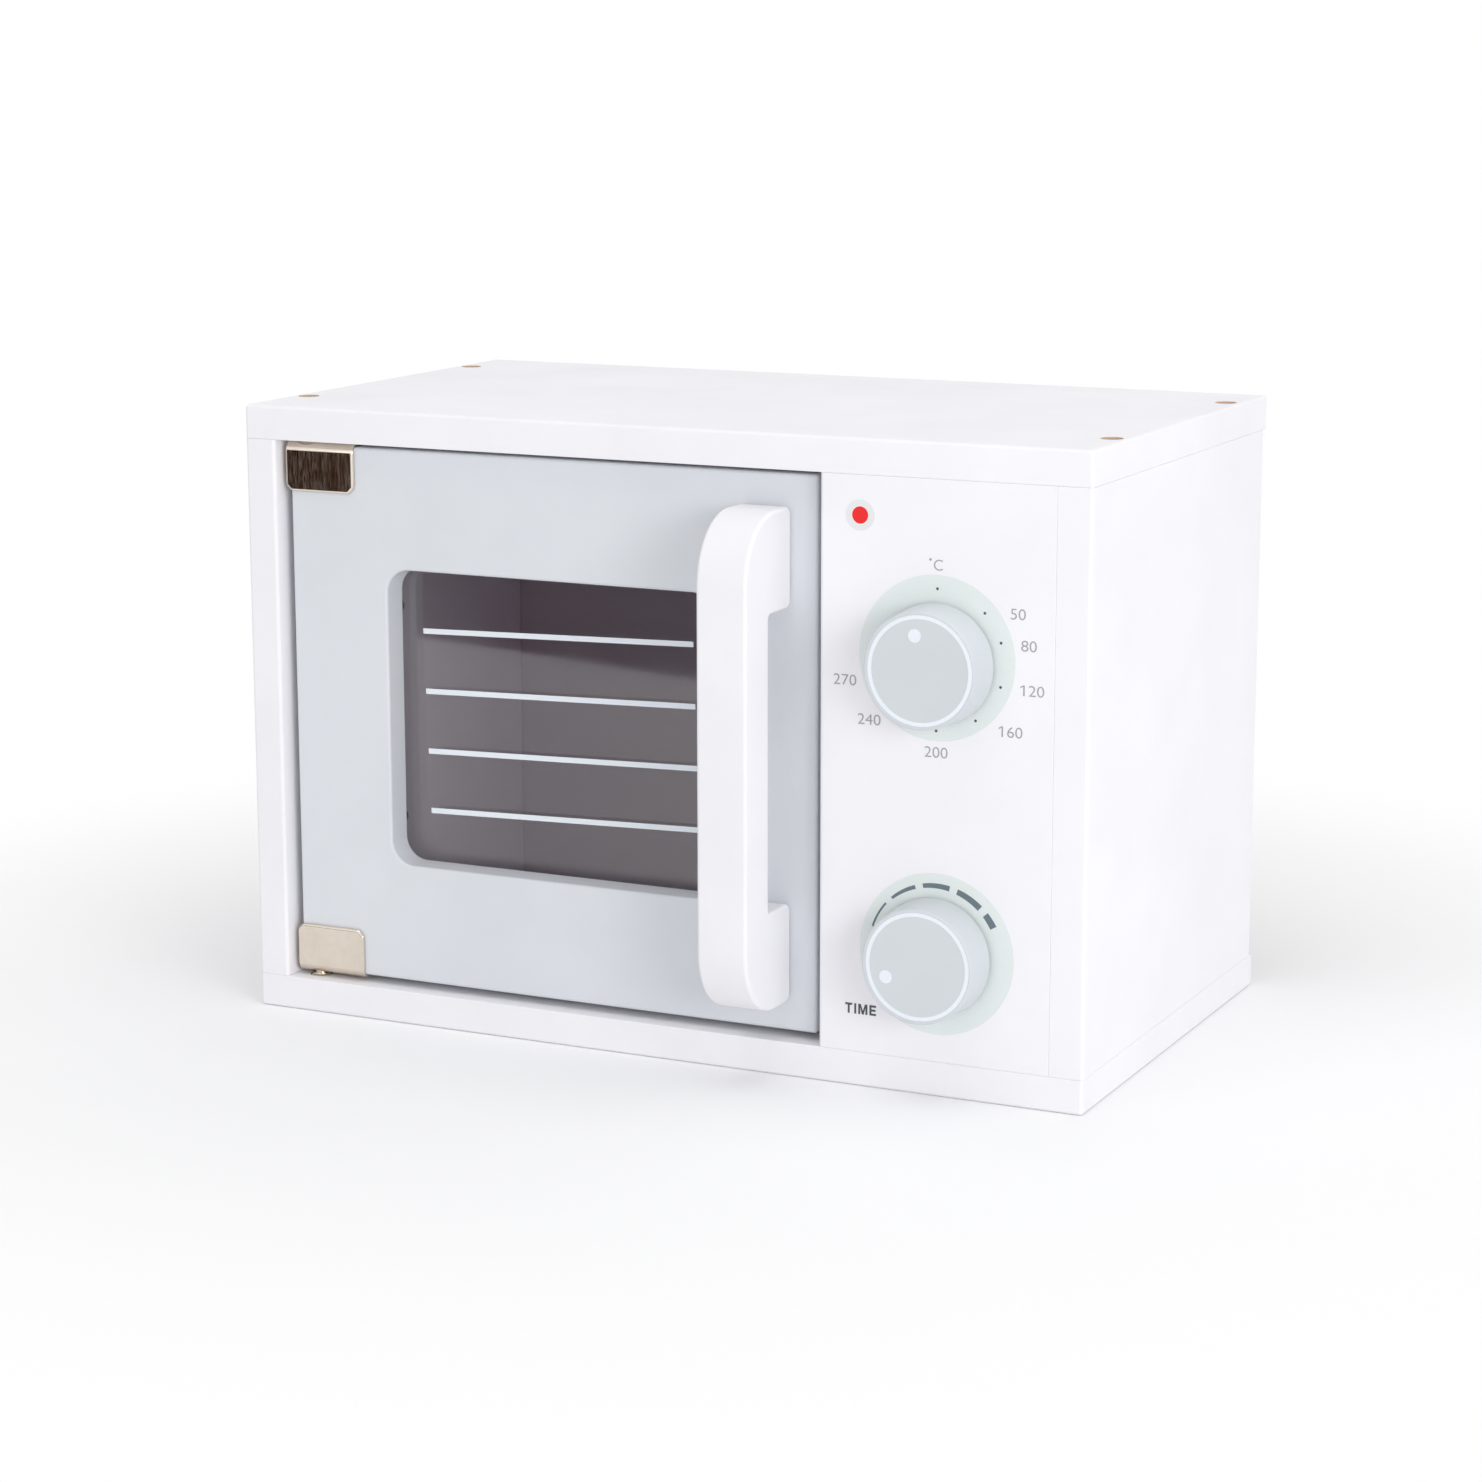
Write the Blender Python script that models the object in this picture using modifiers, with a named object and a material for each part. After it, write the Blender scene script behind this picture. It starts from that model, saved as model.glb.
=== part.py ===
# A wooden play microwave, modelled piece by piece in metres, +Z up.
# The origin is the middle of the cabinet's underside. The front faces -Y, and +X is to the
# right as seen from the front. The grey door swings on two pivot clips at its left corners,
# a magnetic catch holds it shut, and two round knobs turn in the control panel.

import math

import bmesh
import bpy
from mathutils import Matrix, Vector

# Fits and rounding
TOUCH_GAP = 0.0003      # left between two pieces that touch
RUN_GAP = 0.0003        # around a pin or spindle that turns
CUT_OVERRUN = 0.002     # how far a cutter runs past the face that it opens
WELD = 0.000001         # vertices closer than this are one
ROUND_STEPS = 24        # sides of a turned piece
SCREW_STEPS = 12        # sides of a screw
ARC_STEPS = 6           # straight steps in a rounded corner
EDGE_SEGMENTS = 3       # steps across an eased edge

# Cabinet boards
CABINET_WIDTH = 0.300
CABINET_DEPTH = 0.170
CABINET_HEIGHT = 0.207
BOARD = 0.0112          # thickness of the painted boards
BOARD_EDGE = 0.0012     # radius sanded on a board's edges
BACK_BOARD = 0.0025     # thickness of the back
BACK_BOARD_EDGE = 0.0003
BACK_INSET = 0.002      # from the cabinet's side face to the back's edge
CONTROL_WIDTH = 0.0784  # from the door opening to the right side board

# Door
DOOR_THICKNESS = 0.012
DOOR_RECESS = 0.005     # from the cabinet's front to the door's face
DOOR_SIDE_GAP = 0.003
DOOR_TOP_GAP = 0.0018
DOOR_BOTTOM_GAP = 0.0026
DOOR_EDGE = 0.0010
DOOR_STILE = 0.0364     # from the door's left and right edges to the window
DOOR_RAIL = 0.040       # from the door's top and bottom edges to the window
WINDOW_RADIUS = 0.008
PANE_THICKNESS = 0.002
PANE_LAP = 0.006        # how far the pane laps the door behind the window
PANE_SCREW_INSET = 0.014  # from the window's top and bottom to the pane screws

# Door handle
HANDLE_END_INSET = 0.0101  # from the door's top and bottom edges to the handle
HANDLE_INSET = 0.0176   # from the door's free edge to the handle's middle
HANDLE_DEPTH = 0.033    # from the door's face to the front of the grip
HANDLE_WIDTH = 0.0172
GRIP_THICKNESS = 0.0168
FOOT_HEIGHT = 0.0323
HANDLE_OUTER_RADIUS = 0.022
HANDLE_INNER_RADIUS = 0.0018
FOOT_RADIUS = 0.0028
HANDLE_EDGE = 0.0019

# Pivot clips of the door
CLIP_WIDTH = 0.0262
CLIP_HEIGHT = 0.017
CLIP_SHEET = 0.0010
CLIP_FOLD = 0.0018      # outside radius of the folds between the plates and the web
CLIP_CORNER = 0.0020    # cut off the free corners of both plates
CLIP_EDGE = 0.0003
HINGE_AXIS_IN = 0.0054    # from the door's hinged edge to the pins' axis
HINGE_AXIS_BACK = 0.0028  # from the door's face to the pins' axis
PIN_RADIUS = 0.002
PIN_SEAT = 0.0065         # length of a pin inside its bush
BUSH_RADIUS = 0.0035
BUSH_LENGTH = 0.008
THRUST_WASHER_RADIUS = 0.0029
CLIP_SCREW_START = 0.0085  # from the door's hinged edge to the first clip screw
CLIP_SCREW_PITCH = 0.0095
CLIP_SCREW_RISE = 0.009    # from the door's corner to the clip screws

# Knobs
KNOB_RADIUS = 0.0191
KNOB_FACE_RADIUS = 0.0184
KNOB_HEIGHT = 0.0138
KNOB_EDGE = 0.0013
KNOB_BORE_DEPTH = 0.009
KNOB_FROM_RIGHT = 0.0498   # from the cabinet's right face to both knob axes
TEMPERATURE_HEIGHT = 0.1386
TIMER_HEIGHT = 0.0456
FELT_RADIUS = 0.0160
FELT_THICKNESS = 0.0006
SPINDLE_RADIUS = 0.004
RETAINER_RADIUS = 0.008
RETAINER_THICKNESS = 0.0012

# Magnetic catch and its strike plate
CATCH_LENGTH = 0.040
CATCH_BLOCK_LENGTH = 0.028
CATCH_STAND = 0.012       # how far the catch stands out from the divider
CATCH_DEPTH = 0.014       # from the catch's front to its back
CATCH_EAR = 0.0035
CATCH_EDGE = 0.0004
CATCH_SCREW_SPREAD = 0.017  # catch screws above and below the catch's middle
POLE_LENGTH = 0.020
POLE_SHEET = 0.001
POLE_PROUD = 0.001        # how far the pole plates stand out of the catch
MAGNET_THICKNESS = 0.004
POCKET_DEPTH = 0.010
STRIKE_LENGTH = 0.030
STRIKE_WIDTH = 0.008
STRIKE_SHEET = 0.001

# Case screws, sunk in the top and bottom boards
SINK_DEPTH = 0.002        # from the board's face to the screw head
CASE_SCREW_FRONT = 0.031  # from the cabinet's front to the front screws
CASE_SCREW_REAR = 0.028   # from the cabinet's rear to the rear screws
BACK_SCREW_INSET = 0.030  # from the top and bottom boards to the back's screws

# Screws: head radius, head height, shank radius, length under the head
CASE_HEAD_RADIUS = 0.00295
CASE_HEAD_HEIGHT = 0.0022
CASE_SHANK_RADIUS = 0.0017
CASE_LENGTH = 0.024
BACK_HEAD_RADIUS = 0.0026
BACK_HEAD_HEIGHT = 0.0015
BACK_SHANK_RADIUS = 0.0013
BACK_LENGTH = 0.014
PANE_HEAD_RADIUS = 0.0021
PANE_HEAD_HEIGHT = 0.0012
PANE_SHANK_RADIUS = 0.0010
PANE_LENGTH = 0.008
HANDLE_HEAD_RADIUS = 0.0035
HANDLE_HEAD_HEIGHT = 0.0022
HANDLE_SHANK_RADIUS = 0.0018
HANDLE_SCREW_LENGTH = 0.027
CLIP_HEAD_RADIUS = 0.0024
CLIP_HEAD_HEIGHT = 0.0014
CLIP_SHANK_RADIUS = 0.0012
CLIP_LENGTH = 0.009
CATCH_HEAD_RADIUS = 0.0025
CATCH_HEAD_HEIGHT = 0.0015
CATCH_SHANK_RADIUS = 0.0012
CATCH_SCREW_LENGTH = 0.011
STRIKE_HEAD_RADIUS = 0.0021
STRIKE_SHANK_RADIUS = 0.0010
STRIKE_SCREW_LENGTH = 0.0085
RETAINER_HEAD_RADIUS = 0.0034
RETAINER_HEAD_HEIGHT = 0.0020
RETAINER_SHANK_RADIUS = 0.0015
RETAINER_SCREW_LENGTH = 0.012

# Shares of a screw's own sizes
DOME_SHARE = 0.35        # how much of a pan head's height is its straight side
SLOT_WIDTH_SHARE = 0.28  # a cross recess against the head's radius
SLOT_REACH_SHARE = 0.62
SLOT_DEPTH_SHARE = 0.55  # against the head's height
POINT_SHARE = 1.5        # length of the point against the shank's radius
TIP_SHARE = 0.25         # radius of the tip against the shank's radius

# Places worked out from the sizes
LEFT = -CABINET_WIDTH / 2
RIGHT = CABINET_WIDTH / 2
FRONT = -CABINET_DEPTH / 2
REAR = CABINET_DEPTH / 2
TOP = CABINET_HEIGHT
CEILING = TOP - BOARD
FLOOR = BOARD
SIDE_REAR = REAR - BACK_BOARD - TOUCH_GAP
CONTROL_LEFT = RIGHT - BOARD - CONTROL_WIDTH
CONTROL_BACK = FRONT + BOARD

DOOR_LEFT = LEFT + BOARD + DOOR_SIDE_GAP
DOOR_RIGHT = CONTROL_LEFT - DOOR_SIDE_GAP
DOOR_BOTTOM = FLOOR + DOOR_BOTTOM_GAP
DOOR_TOP = CEILING - DOOR_TOP_GAP
DOOR_FACE = FRONT + DOOR_RECESS
DOOR_BACK = DOOR_FACE + DOOR_THICKNESS
DOOR_MIDDLE_X = (DOOR_LEFT + DOOR_RIGHT) / 2
DOOR_MIDDLE_Z = (DOOR_BOTTOM + DOOR_TOP) / 2
HINGE_X = DOOR_LEFT + HINGE_AXIS_IN
HINGE_Y = DOOR_FACE + HINGE_AXIS_BACK
WINDOW_WIDTH = DOOR_RIGHT - DOOR_LEFT - 2 * DOOR_STILE
WINDOW_HEIGHT = DOOR_TOP - DOOR_BOTTOM - 2 * DOOR_RAIL
PANE_SCREW_SPREAD = WINDOW_WIDTH / 2 + PANE_LAP / 2
PANE_SCREW_RISE = WINDOW_HEIGHT / 2 - PANE_SCREW_INSET
HANDLE_X = DOOR_RIGHT - HANDLE_INSET
HANDLE_LENGTH = DOOR_TOP - DOOR_BOTTOM - 2 * HANDLE_END_INSET
HANDLE_SCREW_RISE = (HANDLE_LENGTH - FOOT_HEIGHT) / 2
KNOB_X = RIGHT - KNOB_FROM_RIGHT

CATCH_FRONT = DOOR_BACK + TOUCH_GAP + STRIKE_SHEET + TOUCH_GAP + POLE_PROUD
CATCH_LEFT = CONTROL_LEFT - TOUCH_GAP - CATCH_STAND
CATCH_MIDDLE_X = (CATCH_LEFT + CONTROL_LEFT - TOUCH_GAP - CATCH_EAR) / 2
POCKET_WIDTH = MAGNET_THICKNESS + 2 * POLE_SHEET + 4 * TOUCH_GAP

# Directions
X = Vector((1, 0, 0))
Y = Vector((0, 1, 0))
Z = Vector((0, 0, 1))

for leftover in list(bpy.data.objects):
    bpy.data.objects.remove(leftover)

parts = bpy.data.collections.new("toy_microwave")
cutters = bpy.data.collections.new("toy_microwave_cutters")
bpy.context.scene.collection.children.link(parts)
bpy.context.scene.collection.children.link(cutters)


# Materials

def linear(channel):
    """One sRGB channel, 0 to 255, as the linear value that a shader takes."""
    share = channel / 255
    if share <= 0.04045:
        return share / 12.92
    return ((share + 0.055) / 1.055) ** 2.4


def material(name, colour, roughness, metallic=0.0, alpha=1.0):
    """A plain finish: its sRGB hex colour, roughness and metallic value."""
    made = bpy.data.materials.new(name)
    made.use_nodes = True
    shader = made.node_tree.nodes["Principled BSDF"]
    channels = [linear(int(colour[i:i + 2], 16)) for i in (0, 2, 4)]
    shader.inputs["Base Color"].default_value = (*channels, 1.0)
    shader.inputs["Roughness"].default_value = roughness
    shader.inputs["Metallic"].default_value = metallic
    shader.inputs["Alpha"].default_value = alpha
    return made


white_paint = material("white painted board", "F3F2F3", 0.45)
door_paint = material("grey painted board", "D3D9DC", 0.45)
knob_paint = material("grey painted wood", "CFD5D8", 0.40)
handle_paint = material("white painted wood", "F5F4F5", 0.40)
back_paint = material("white hardboard", "ECEBE8", 0.60)
smoked_acrylic = material("smoked acrylic", "3A3338", 0.05, alpha=0.45)
nickel = material("nickel plated steel", "D6CEC3", 0.25, metallic=1.0)
zinc = material("zinc plated steel", "B9B6AE", 0.35, metallic=1.0)
white_plastic = material("white nylon", "F0EFEA", 0.50)
ferrite = material("ferrite magnet", "2E2C2B", 0.60)
beech = material("beech dowel", "C9A77C", 0.55)
felt = material("grey felt", "A9ADAF", 0.95)


# Building blocks

def put(name, mesh, finish, collection=parts):
    """A new object of this mesh in a collection."""
    made = bpy.data.objects.new(name, mesh)
    collection.objects.link(made)
    if finish is not None:
        mesh.materials.clear()
        mesh.materials.append(finish)
    if collection is cutters:
        made.hide_render = True
        made.display_type = "WIRE"
    return made


def box(name, low, high, finish, edge=0.0, collection=parts):
    """A box between two corners, its edges eased by a small radius."""
    low = Vector(low)
    high = Vector(high)
    form = bmesh.new()
    bmesh.ops.create_cube(form, size=1.0, matrix=Matrix.Diagonal((*(high - low), 1.0)))
    mesh = bpy.data.meshes.new(name)
    form.to_mesh(mesh)
    form.free()
    made = put(name, mesh, finish, collection)
    made.location = (low + high) / 2
    if edge:
        ease(made, edge)
    return made


def ease(piece, radius):
    """Rounds the sharp edges of a piece."""
    bevel = piece.modifiers.new("eased edges", "BEVEL")
    bevel.width = radius
    bevel.segments = EDGE_SEGMENTS
    bevel.limit_method = "ANGLE"
    bevel.angle_limit = math.radians(40)


def round_folds(piece, side, radius):
    """Rounds the two edges along X at the top (side 1) or bottom (side -1) of a box."""
    weights = piece.data.attributes.new("bevel_weight_edge", "FLOAT", "EDGE")
    for edge in piece.data.edges:
        start, end = (piece.data.vertices[i].co for i in edge.vertices)
        if start.yz == end.yz and start.z * side > 0:
            weights.data[edge.index].value = 1.0
    bevel = piece.modifiers.new("folds", "BEVEL")
    bevel.width = radius
    bevel.segments = EDGE_SEGMENTS
    bevel.limit_method = "WEIGHT"


def combine(piece, tool, operation="DIFFERENCE"):
    """Cuts a tool out of a piece, or joins it on."""
    modifier = piece.modifiers.new(operation.lower(), "BOOLEAN")
    modifier.operation = operation
    modifier.object = tool


def point_along(piece, direction):
    """Turns a piece so that its own +Z points along a direction."""
    piece.rotation_mode = "QUATERNION"
    piece.rotation_quaternion = direction.to_track_quat("Z", "Y")


def drill(piece, mouth, direction, radius, depth, steps=ROUND_STEPS):
    """A round hole from its mouth along a direction, opened a little past the mouth."""
    form = bmesh.new()
    bmesh.ops.create_cone(
        form, cap_ends=True, segments=steps, radius1=radius, radius2=radius,
        depth=depth + CUT_OVERRUN,
        matrix=Matrix.Translation(((depth - CUT_OVERRUN) / 2) * Z))
    mesh = bpy.data.meshes.new("drill")
    form.to_mesh(mesh)
    form.free()
    tool = put("drill", mesh, None, cutters)
    tool.location = mouth
    point_along(tool, direction)
    combine(piece, tool)


def cut_box(piece, low, high):
    """Cuts a box between two corners out of a piece."""
    combine(piece, box("block", low, high, None, collection=cutters))


def cut_corner(piece, corner, size, depth):
    """Cuts a 45 degree corner off a plate that stands in the door's plane."""
    side = size * math.sqrt(2)
    tool = box("corner", (-side / 2, -depth / 2, -side / 2), (side / 2, depth / 2, side / 2),
               None, collection=cutters)
    tool.location = corner
    tool.rotation_euler = (0, math.radians(45), 0)
    combine(piece, tool)


def turned(name, profile, finish, place, direction, steps=ROUND_STEPS, collection=parts):
    """A turned piece: the profile is (radius, height) down the outer side, turned round +Z."""
    mesh = bpy.data.meshes.new(name)
    points = [(radius, 0.0, height) for radius, height in profile]
    closed = profile[0] == profile[-1]
    if closed:
        points = points[:-1]
    edges = [(i, i + 1) for i in range(len(points) - 1)]
    if closed:
        edges.append((len(points) - 1, 0))
    mesh.from_pydata(points, edges, [])
    made = put(name, mesh, finish, collection)
    screw = made.modifiers.new("turned", "SCREW")
    screw.steps = steps
    screw.render_steps = steps
    screw.use_merge_vertices = True
    screw.merge_threshold = WELD
    screw.use_smooth_shade = True
    made.location = place
    point_along(made, direction)
    return made


def ring_profile(inner, outer, low, high):
    """The closed profile of a washer or bush, down its outer side and up its bore."""
    return [(outer, high), (outer, low), (inner, low), (inner, high), (outer, high)]


def rounded_outline(corners):
    """The points of an outline given as (x, y, radius) corners, each corner rounded."""
    points = []
    for i, (x, y, radius) in enumerate(corners):
        corner = Vector((x, y))
        back = (Vector(corners[i - 1][:2]) - corner).normalized()
        ahead = (Vector(corners[(i + 1) % len(corners)][:2]) - corner).normalized()
        half = back.angle(ahead) / 2
        centre = corner + (back + ahead).normalized() * (radius / math.sin(half))
        start = corner + back * (radius / math.tan(half)) - centre
        end = corner + ahead * (radius / math.tan(half)) - centre
        sweep = start.angle_signed(end)
        for step in range(ARC_STEPS + 1):
            arm = start.copy()
            arm.rotate(Matrix.Rotation(-sweep * step / ARC_STEPS, 2))
            points.append(centre + arm)
    return points


def slab(name, outline, thickness, edge=0.0, collection=cutters):
    """A flat outline of an even thickness, as a mesh, its edges eased by a small radius."""
    curve = bpy.data.curves.new(name, "CURVE")
    curve.dimensions = "2D"
    curve.fill_mode = "BOTH"
    curve.extrude = thickness / 2 - edge
    curve.bevel_depth = edge
    curve.bevel_resolution = EDGE_SEGMENTS - 1
    curve.offset = -edge
    spline = curve.splines.new("POLY")
    spline.points.add(len(outline) - 1)
    for point, place in zip(spline.points, outline):
        point.co = (place.x, place.y, 0.0, 1.0)
    spline.use_cyclic_u = True
    drawn = bpy.data.objects.new(name, curve)
    bpy.context.scene.collection.objects.link(drawn)
    mesh = settled_mesh(drawn, name)
    bpy.data.objects.remove(drawn)
    return put(name, mesh, None, collection)


def settled_mesh(piece, name):
    """The piece with its modifiers or curve turned into a plain welded mesh."""
    bpy.context.view_layer.update()
    evaluated = piece.evaluated_get(bpy.context.evaluated_depsgraph_get())
    mesh = bpy.data.meshes.new_from_object(evaluated)
    mesh.name = name
    form = bmesh.new()
    form.from_mesh(mesh)
    bmesh.ops.remove_doubles(form, verts=form.verts, dist=WELD)
    bmesh.ops.recalc_face_normals(form, faces=form.faces)
    form.to_mesh(mesh)
    form.free()
    mesh.shade_smooth()
    mesh.set_sharp_from_angle(angle=math.radians(35))
    return mesh


# Screws

def pan_head(head_radius, head_height, shank_radius, length):
    """The profile of a pan head screw, its head above zero and its point below."""
    side = head_height * DOME_SHARE
    turn = math.radians(45)
    shoulder = (head_radius * math.cos(turn), side + (head_height - side) * math.sin(turn))
    point = shank_radius * POINT_SHARE
    return [(0.0, head_height), shoulder, (head_radius, side), (head_radius, 0.0),
            (shank_radius, 0.0), (shank_radius, point - length),
            (shank_radius * TIP_SHARE, -length), (0.0, -length)]


def flat_head(head_radius, shank_radius, length):
    """The profile of a countersunk screw, its flat head level with zero."""
    point = shank_radius * POINT_SHARE
    return [(0.0, 0.0), (head_radius, 0.0), (shank_radius, shank_radius - head_radius),
            (shank_radius, point - length), (shank_radius * TIP_SHARE, -length), (0.0, -length)]


def screw_mesh(name, profile, head_radius, head_height, head_top):
    """One kind of screw with its cross recess, as a mesh that its copies share."""
    blank = turned(name, profile, None, (0, 0, 0), Z, SCREW_STEPS, cutters)
    reach = head_radius * SLOT_REACH_SHARE
    half = head_radius * SLOT_WIDTH_SHARE / 2
    depth = head_height * SLOT_DEPTH_SHARE
    tools = []
    for wide, deep in ((reach, half), (half, reach)):
        tool = box("recess", (-wide, -deep, head_top - depth),
                   (wide, deep, head_top + CUT_OVERRUN), None, collection=cutters)
        combine(blank, tool)
        tools.append(tool)
    mesh = settled_mesh(blank, name)
    for tool in tools + [blank]:
        bpy.data.objects.remove(tool)
    return mesh


def pan_screw(name, head_radius, head_height, shank_radius, length):
    """One kind of pan head screw."""
    profile = pan_head(head_radius, head_height, shank_radius, length)
    return screw_mesh(name, profile, head_radius, head_height, head_height)


case_screw = pan_screw("case screw", CASE_HEAD_RADIUS, CASE_HEAD_HEIGHT,
                       CASE_SHANK_RADIUS, CASE_LENGTH)
back_screw = pan_screw("back screw", BACK_HEAD_RADIUS, BACK_HEAD_HEIGHT,
                       BACK_SHANK_RADIUS, BACK_LENGTH)
pane_screw = pan_screw("pane screw", PANE_HEAD_RADIUS, PANE_HEAD_HEIGHT,
                       PANE_SHANK_RADIUS, PANE_LENGTH)
handle_screw = pan_screw("handle screw", HANDLE_HEAD_RADIUS, HANDLE_HEAD_HEIGHT,
                         HANDLE_SHANK_RADIUS, HANDLE_SCREW_LENGTH)
clip_screw = pan_screw("clip screw", CLIP_HEAD_RADIUS, CLIP_HEAD_HEIGHT,
                       CLIP_SHANK_RADIUS, CLIP_LENGTH)
catch_screw = pan_screw("catch screw", CATCH_HEAD_RADIUS, CATCH_HEAD_HEIGHT,
                        CATCH_SHANK_RADIUS, CATCH_SCREW_LENGTH)
retainer_screw = pan_screw("retainer screw", RETAINER_HEAD_RADIUS, RETAINER_HEAD_HEIGHT,
                           RETAINER_SHANK_RADIUS, RETAINER_SCREW_LENGTH)
strike_profile = flat_head(STRIKE_HEAD_RADIUS, STRIKE_SHANK_RADIUS, STRIKE_SCREW_LENGTH)
strike_screw = screw_mesh("strike screw", strike_profile, STRIKE_HEAD_RADIUS, STRIKE_SHEET, 0.0)


def place_screw(name, mesh, finish, place, outward):
    """One screw whose head faces outward."""
    made = put(name, mesh, finish)
    made.location = place
    point_along(made, outward)
    return made


# Joint axes, as empties that carry the moving pieces

def axis_empty(name, place):
    made = bpy.data.objects.new(name, None)
    parts.objects.link(made)
    made.location = place
    return made


def carry(empty, pieces):
    """Parents pieces to an empty and leaves them where they are."""
    bpy.context.view_layer.update()
    for piece in pieces:
        piece.parent = empty
        piece.matrix_parent_inverse = empty.matrix_world.inverted()


cabinet_origin = axis_empty("cabinet_origin", (0, 0, 0))
door_axis = axis_empty("door_axis", (HINGE_X, HINGE_Y, DOOR_MIDDLE_Z))


# Cabinet boards and the screws that hold them

top_panel = box("top_panel", (LEFT, FRONT, CEILING), (RIGHT, REAR, TOP),
                white_paint, BOARD_EDGE)
bottom_panel = box("bottom_panel", (LEFT, FRONT, 0), (RIGHT, REAR, FLOOR),
                   white_paint, BOARD_EDGE)
left_side_panel = box("left_side_panel", (LEFT, FRONT, FLOOR + TOUCH_GAP),
                      (LEFT + BOARD, SIDE_REAR, CEILING - TOUCH_GAP),
                      white_paint, BOARD_EDGE)
right_side_panel = box("right_side_panel", (RIGHT - BOARD, FRONT, FLOOR + TOUCH_GAP),
                       (RIGHT, SIDE_REAR, CEILING - TOUCH_GAP),
                       white_paint, BOARD_EDGE)
control_panel = box("control_panel", (CONTROL_LEFT, FRONT, FLOOR + TOUCH_GAP),
                    (RIGHT - BOARD - TOUCH_GAP, CONTROL_BACK, CEILING - TOUCH_GAP),
                    white_paint, BOARD_EDGE)
divider_panel = box("divider_panel", (CONTROL_LEFT, CONTROL_BACK + TOUCH_GAP, FLOOR + TOUCH_GAP),
                    (CONTROL_LEFT + BOARD, SIDE_REAR, CEILING - TOUCH_GAP),
                    white_paint, BOARD_EDGE)
back_panel = box("back_panel", (LEFT + BACK_INSET, REAR - BACK_BOARD, FLOOR + TOUCH_GAP),
                 (RIGHT - BACK_INSET, REAR, CEILING - TOUCH_GAP),
                 back_paint, BACK_BOARD_EDGE)
cabinet_pieces = [top_panel, bottom_panel, left_side_panel, right_side_panel, control_panel,
                  divider_panel, back_panel]

side_middles = {"left": (LEFT + BOARD / 2, left_side_panel),
                "right": (RIGHT - BOARD / 2, right_side_panel)}
divider_middle = {"divider": (CONTROL_LEFT + BOARD / 2, divider_panel)}
screw_rows = {"front": FRONT + CASE_SCREW_FRONT, "rear": REAR - CASE_SCREW_REAR}


def case_screws(board, board_name, face, inward, uprights):
    """Sunk screws through the top or bottom board into the upright boards."""
    for side, (x, upright) in uprights.items():
        for row, y in screw_rows.items():
            mouth = Vector((x, y, face))
            seat = SINK_DEPTH + CASE_HEAD_HEIGHT
            bore = CASE_SHANK_RADIUS + TOUCH_GAP
            drill(board, mouth, inward, CASE_HEAD_RADIUS + TOUCH_GAP, seat + TOUCH_GAP)
            drill(board, mouth, inward, bore, BOARD + CUT_OVERRUN, SCREW_STEPS)
            drill(upright, mouth, inward, bore, seat + CASE_LENGTH + TOUCH_GAP, SCREW_STEPS)
            cabinet_pieces.append(place_screw(
                f"{board_name}_screw_{side}_{row}", case_screw, zinc,
                mouth + inward * seat, -inward))


case_screws(top_panel, "top", TOP, -Z, side_middles)
case_screws(bottom_panel, "bottom", 0.0, Z, {**side_middles, **divider_middle})


def back_screws():
    """Screws through the back into the rear edges of the side boards."""
    heights = {"lower": FLOOR + BACK_SCREW_INSET, "upper": CEILING - BACK_SCREW_INSET}
    for side, (x, upright) in side_middles.items():
        for level, z in heights.items():
            mouth = Vector((x, REAR, z))
            bore = BACK_SHANK_RADIUS + TOUCH_GAP
            drill(back_panel, mouth, -Y, bore, BACK_BOARD + CUT_OVERRUN, SCREW_STEPS)
            drill(upright, mouth, -Y, bore, BACK_LENGTH + TOUCH_GAP, SCREW_STEPS)
            cabinet_pieces.append(place_screw(
                f"back_screw_{side}_{level}", back_screw, zinc, mouth + TOUCH_GAP * Y, Y))


back_screws()


# Door panel with its window, and the smoked pane behind it

door_panel = box("door_panel", (DOOR_LEFT, DOOR_FACE, DOOR_BOTTOM),
                 (DOOR_RIGHT, DOOR_BACK, DOOR_TOP), door_paint)


def window_tool(grow, radius, thickness):
    """A rounded rectangle round the window's middle, standing in the door's plane."""
    half_width = WINDOW_WIDTH / 2 + grow
    half_height = WINDOW_HEIGHT / 2 + grow
    outline = rounded_outline([
        (-half_width, -half_height, radius), (half_width, -half_height, radius),
        (half_width, half_height, radius), (-half_width, half_height, radius)])
    tool = slab("window", outline, thickness)
    tool.rotation_euler = (math.pi / 2, 0, 0)
    return tool


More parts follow.
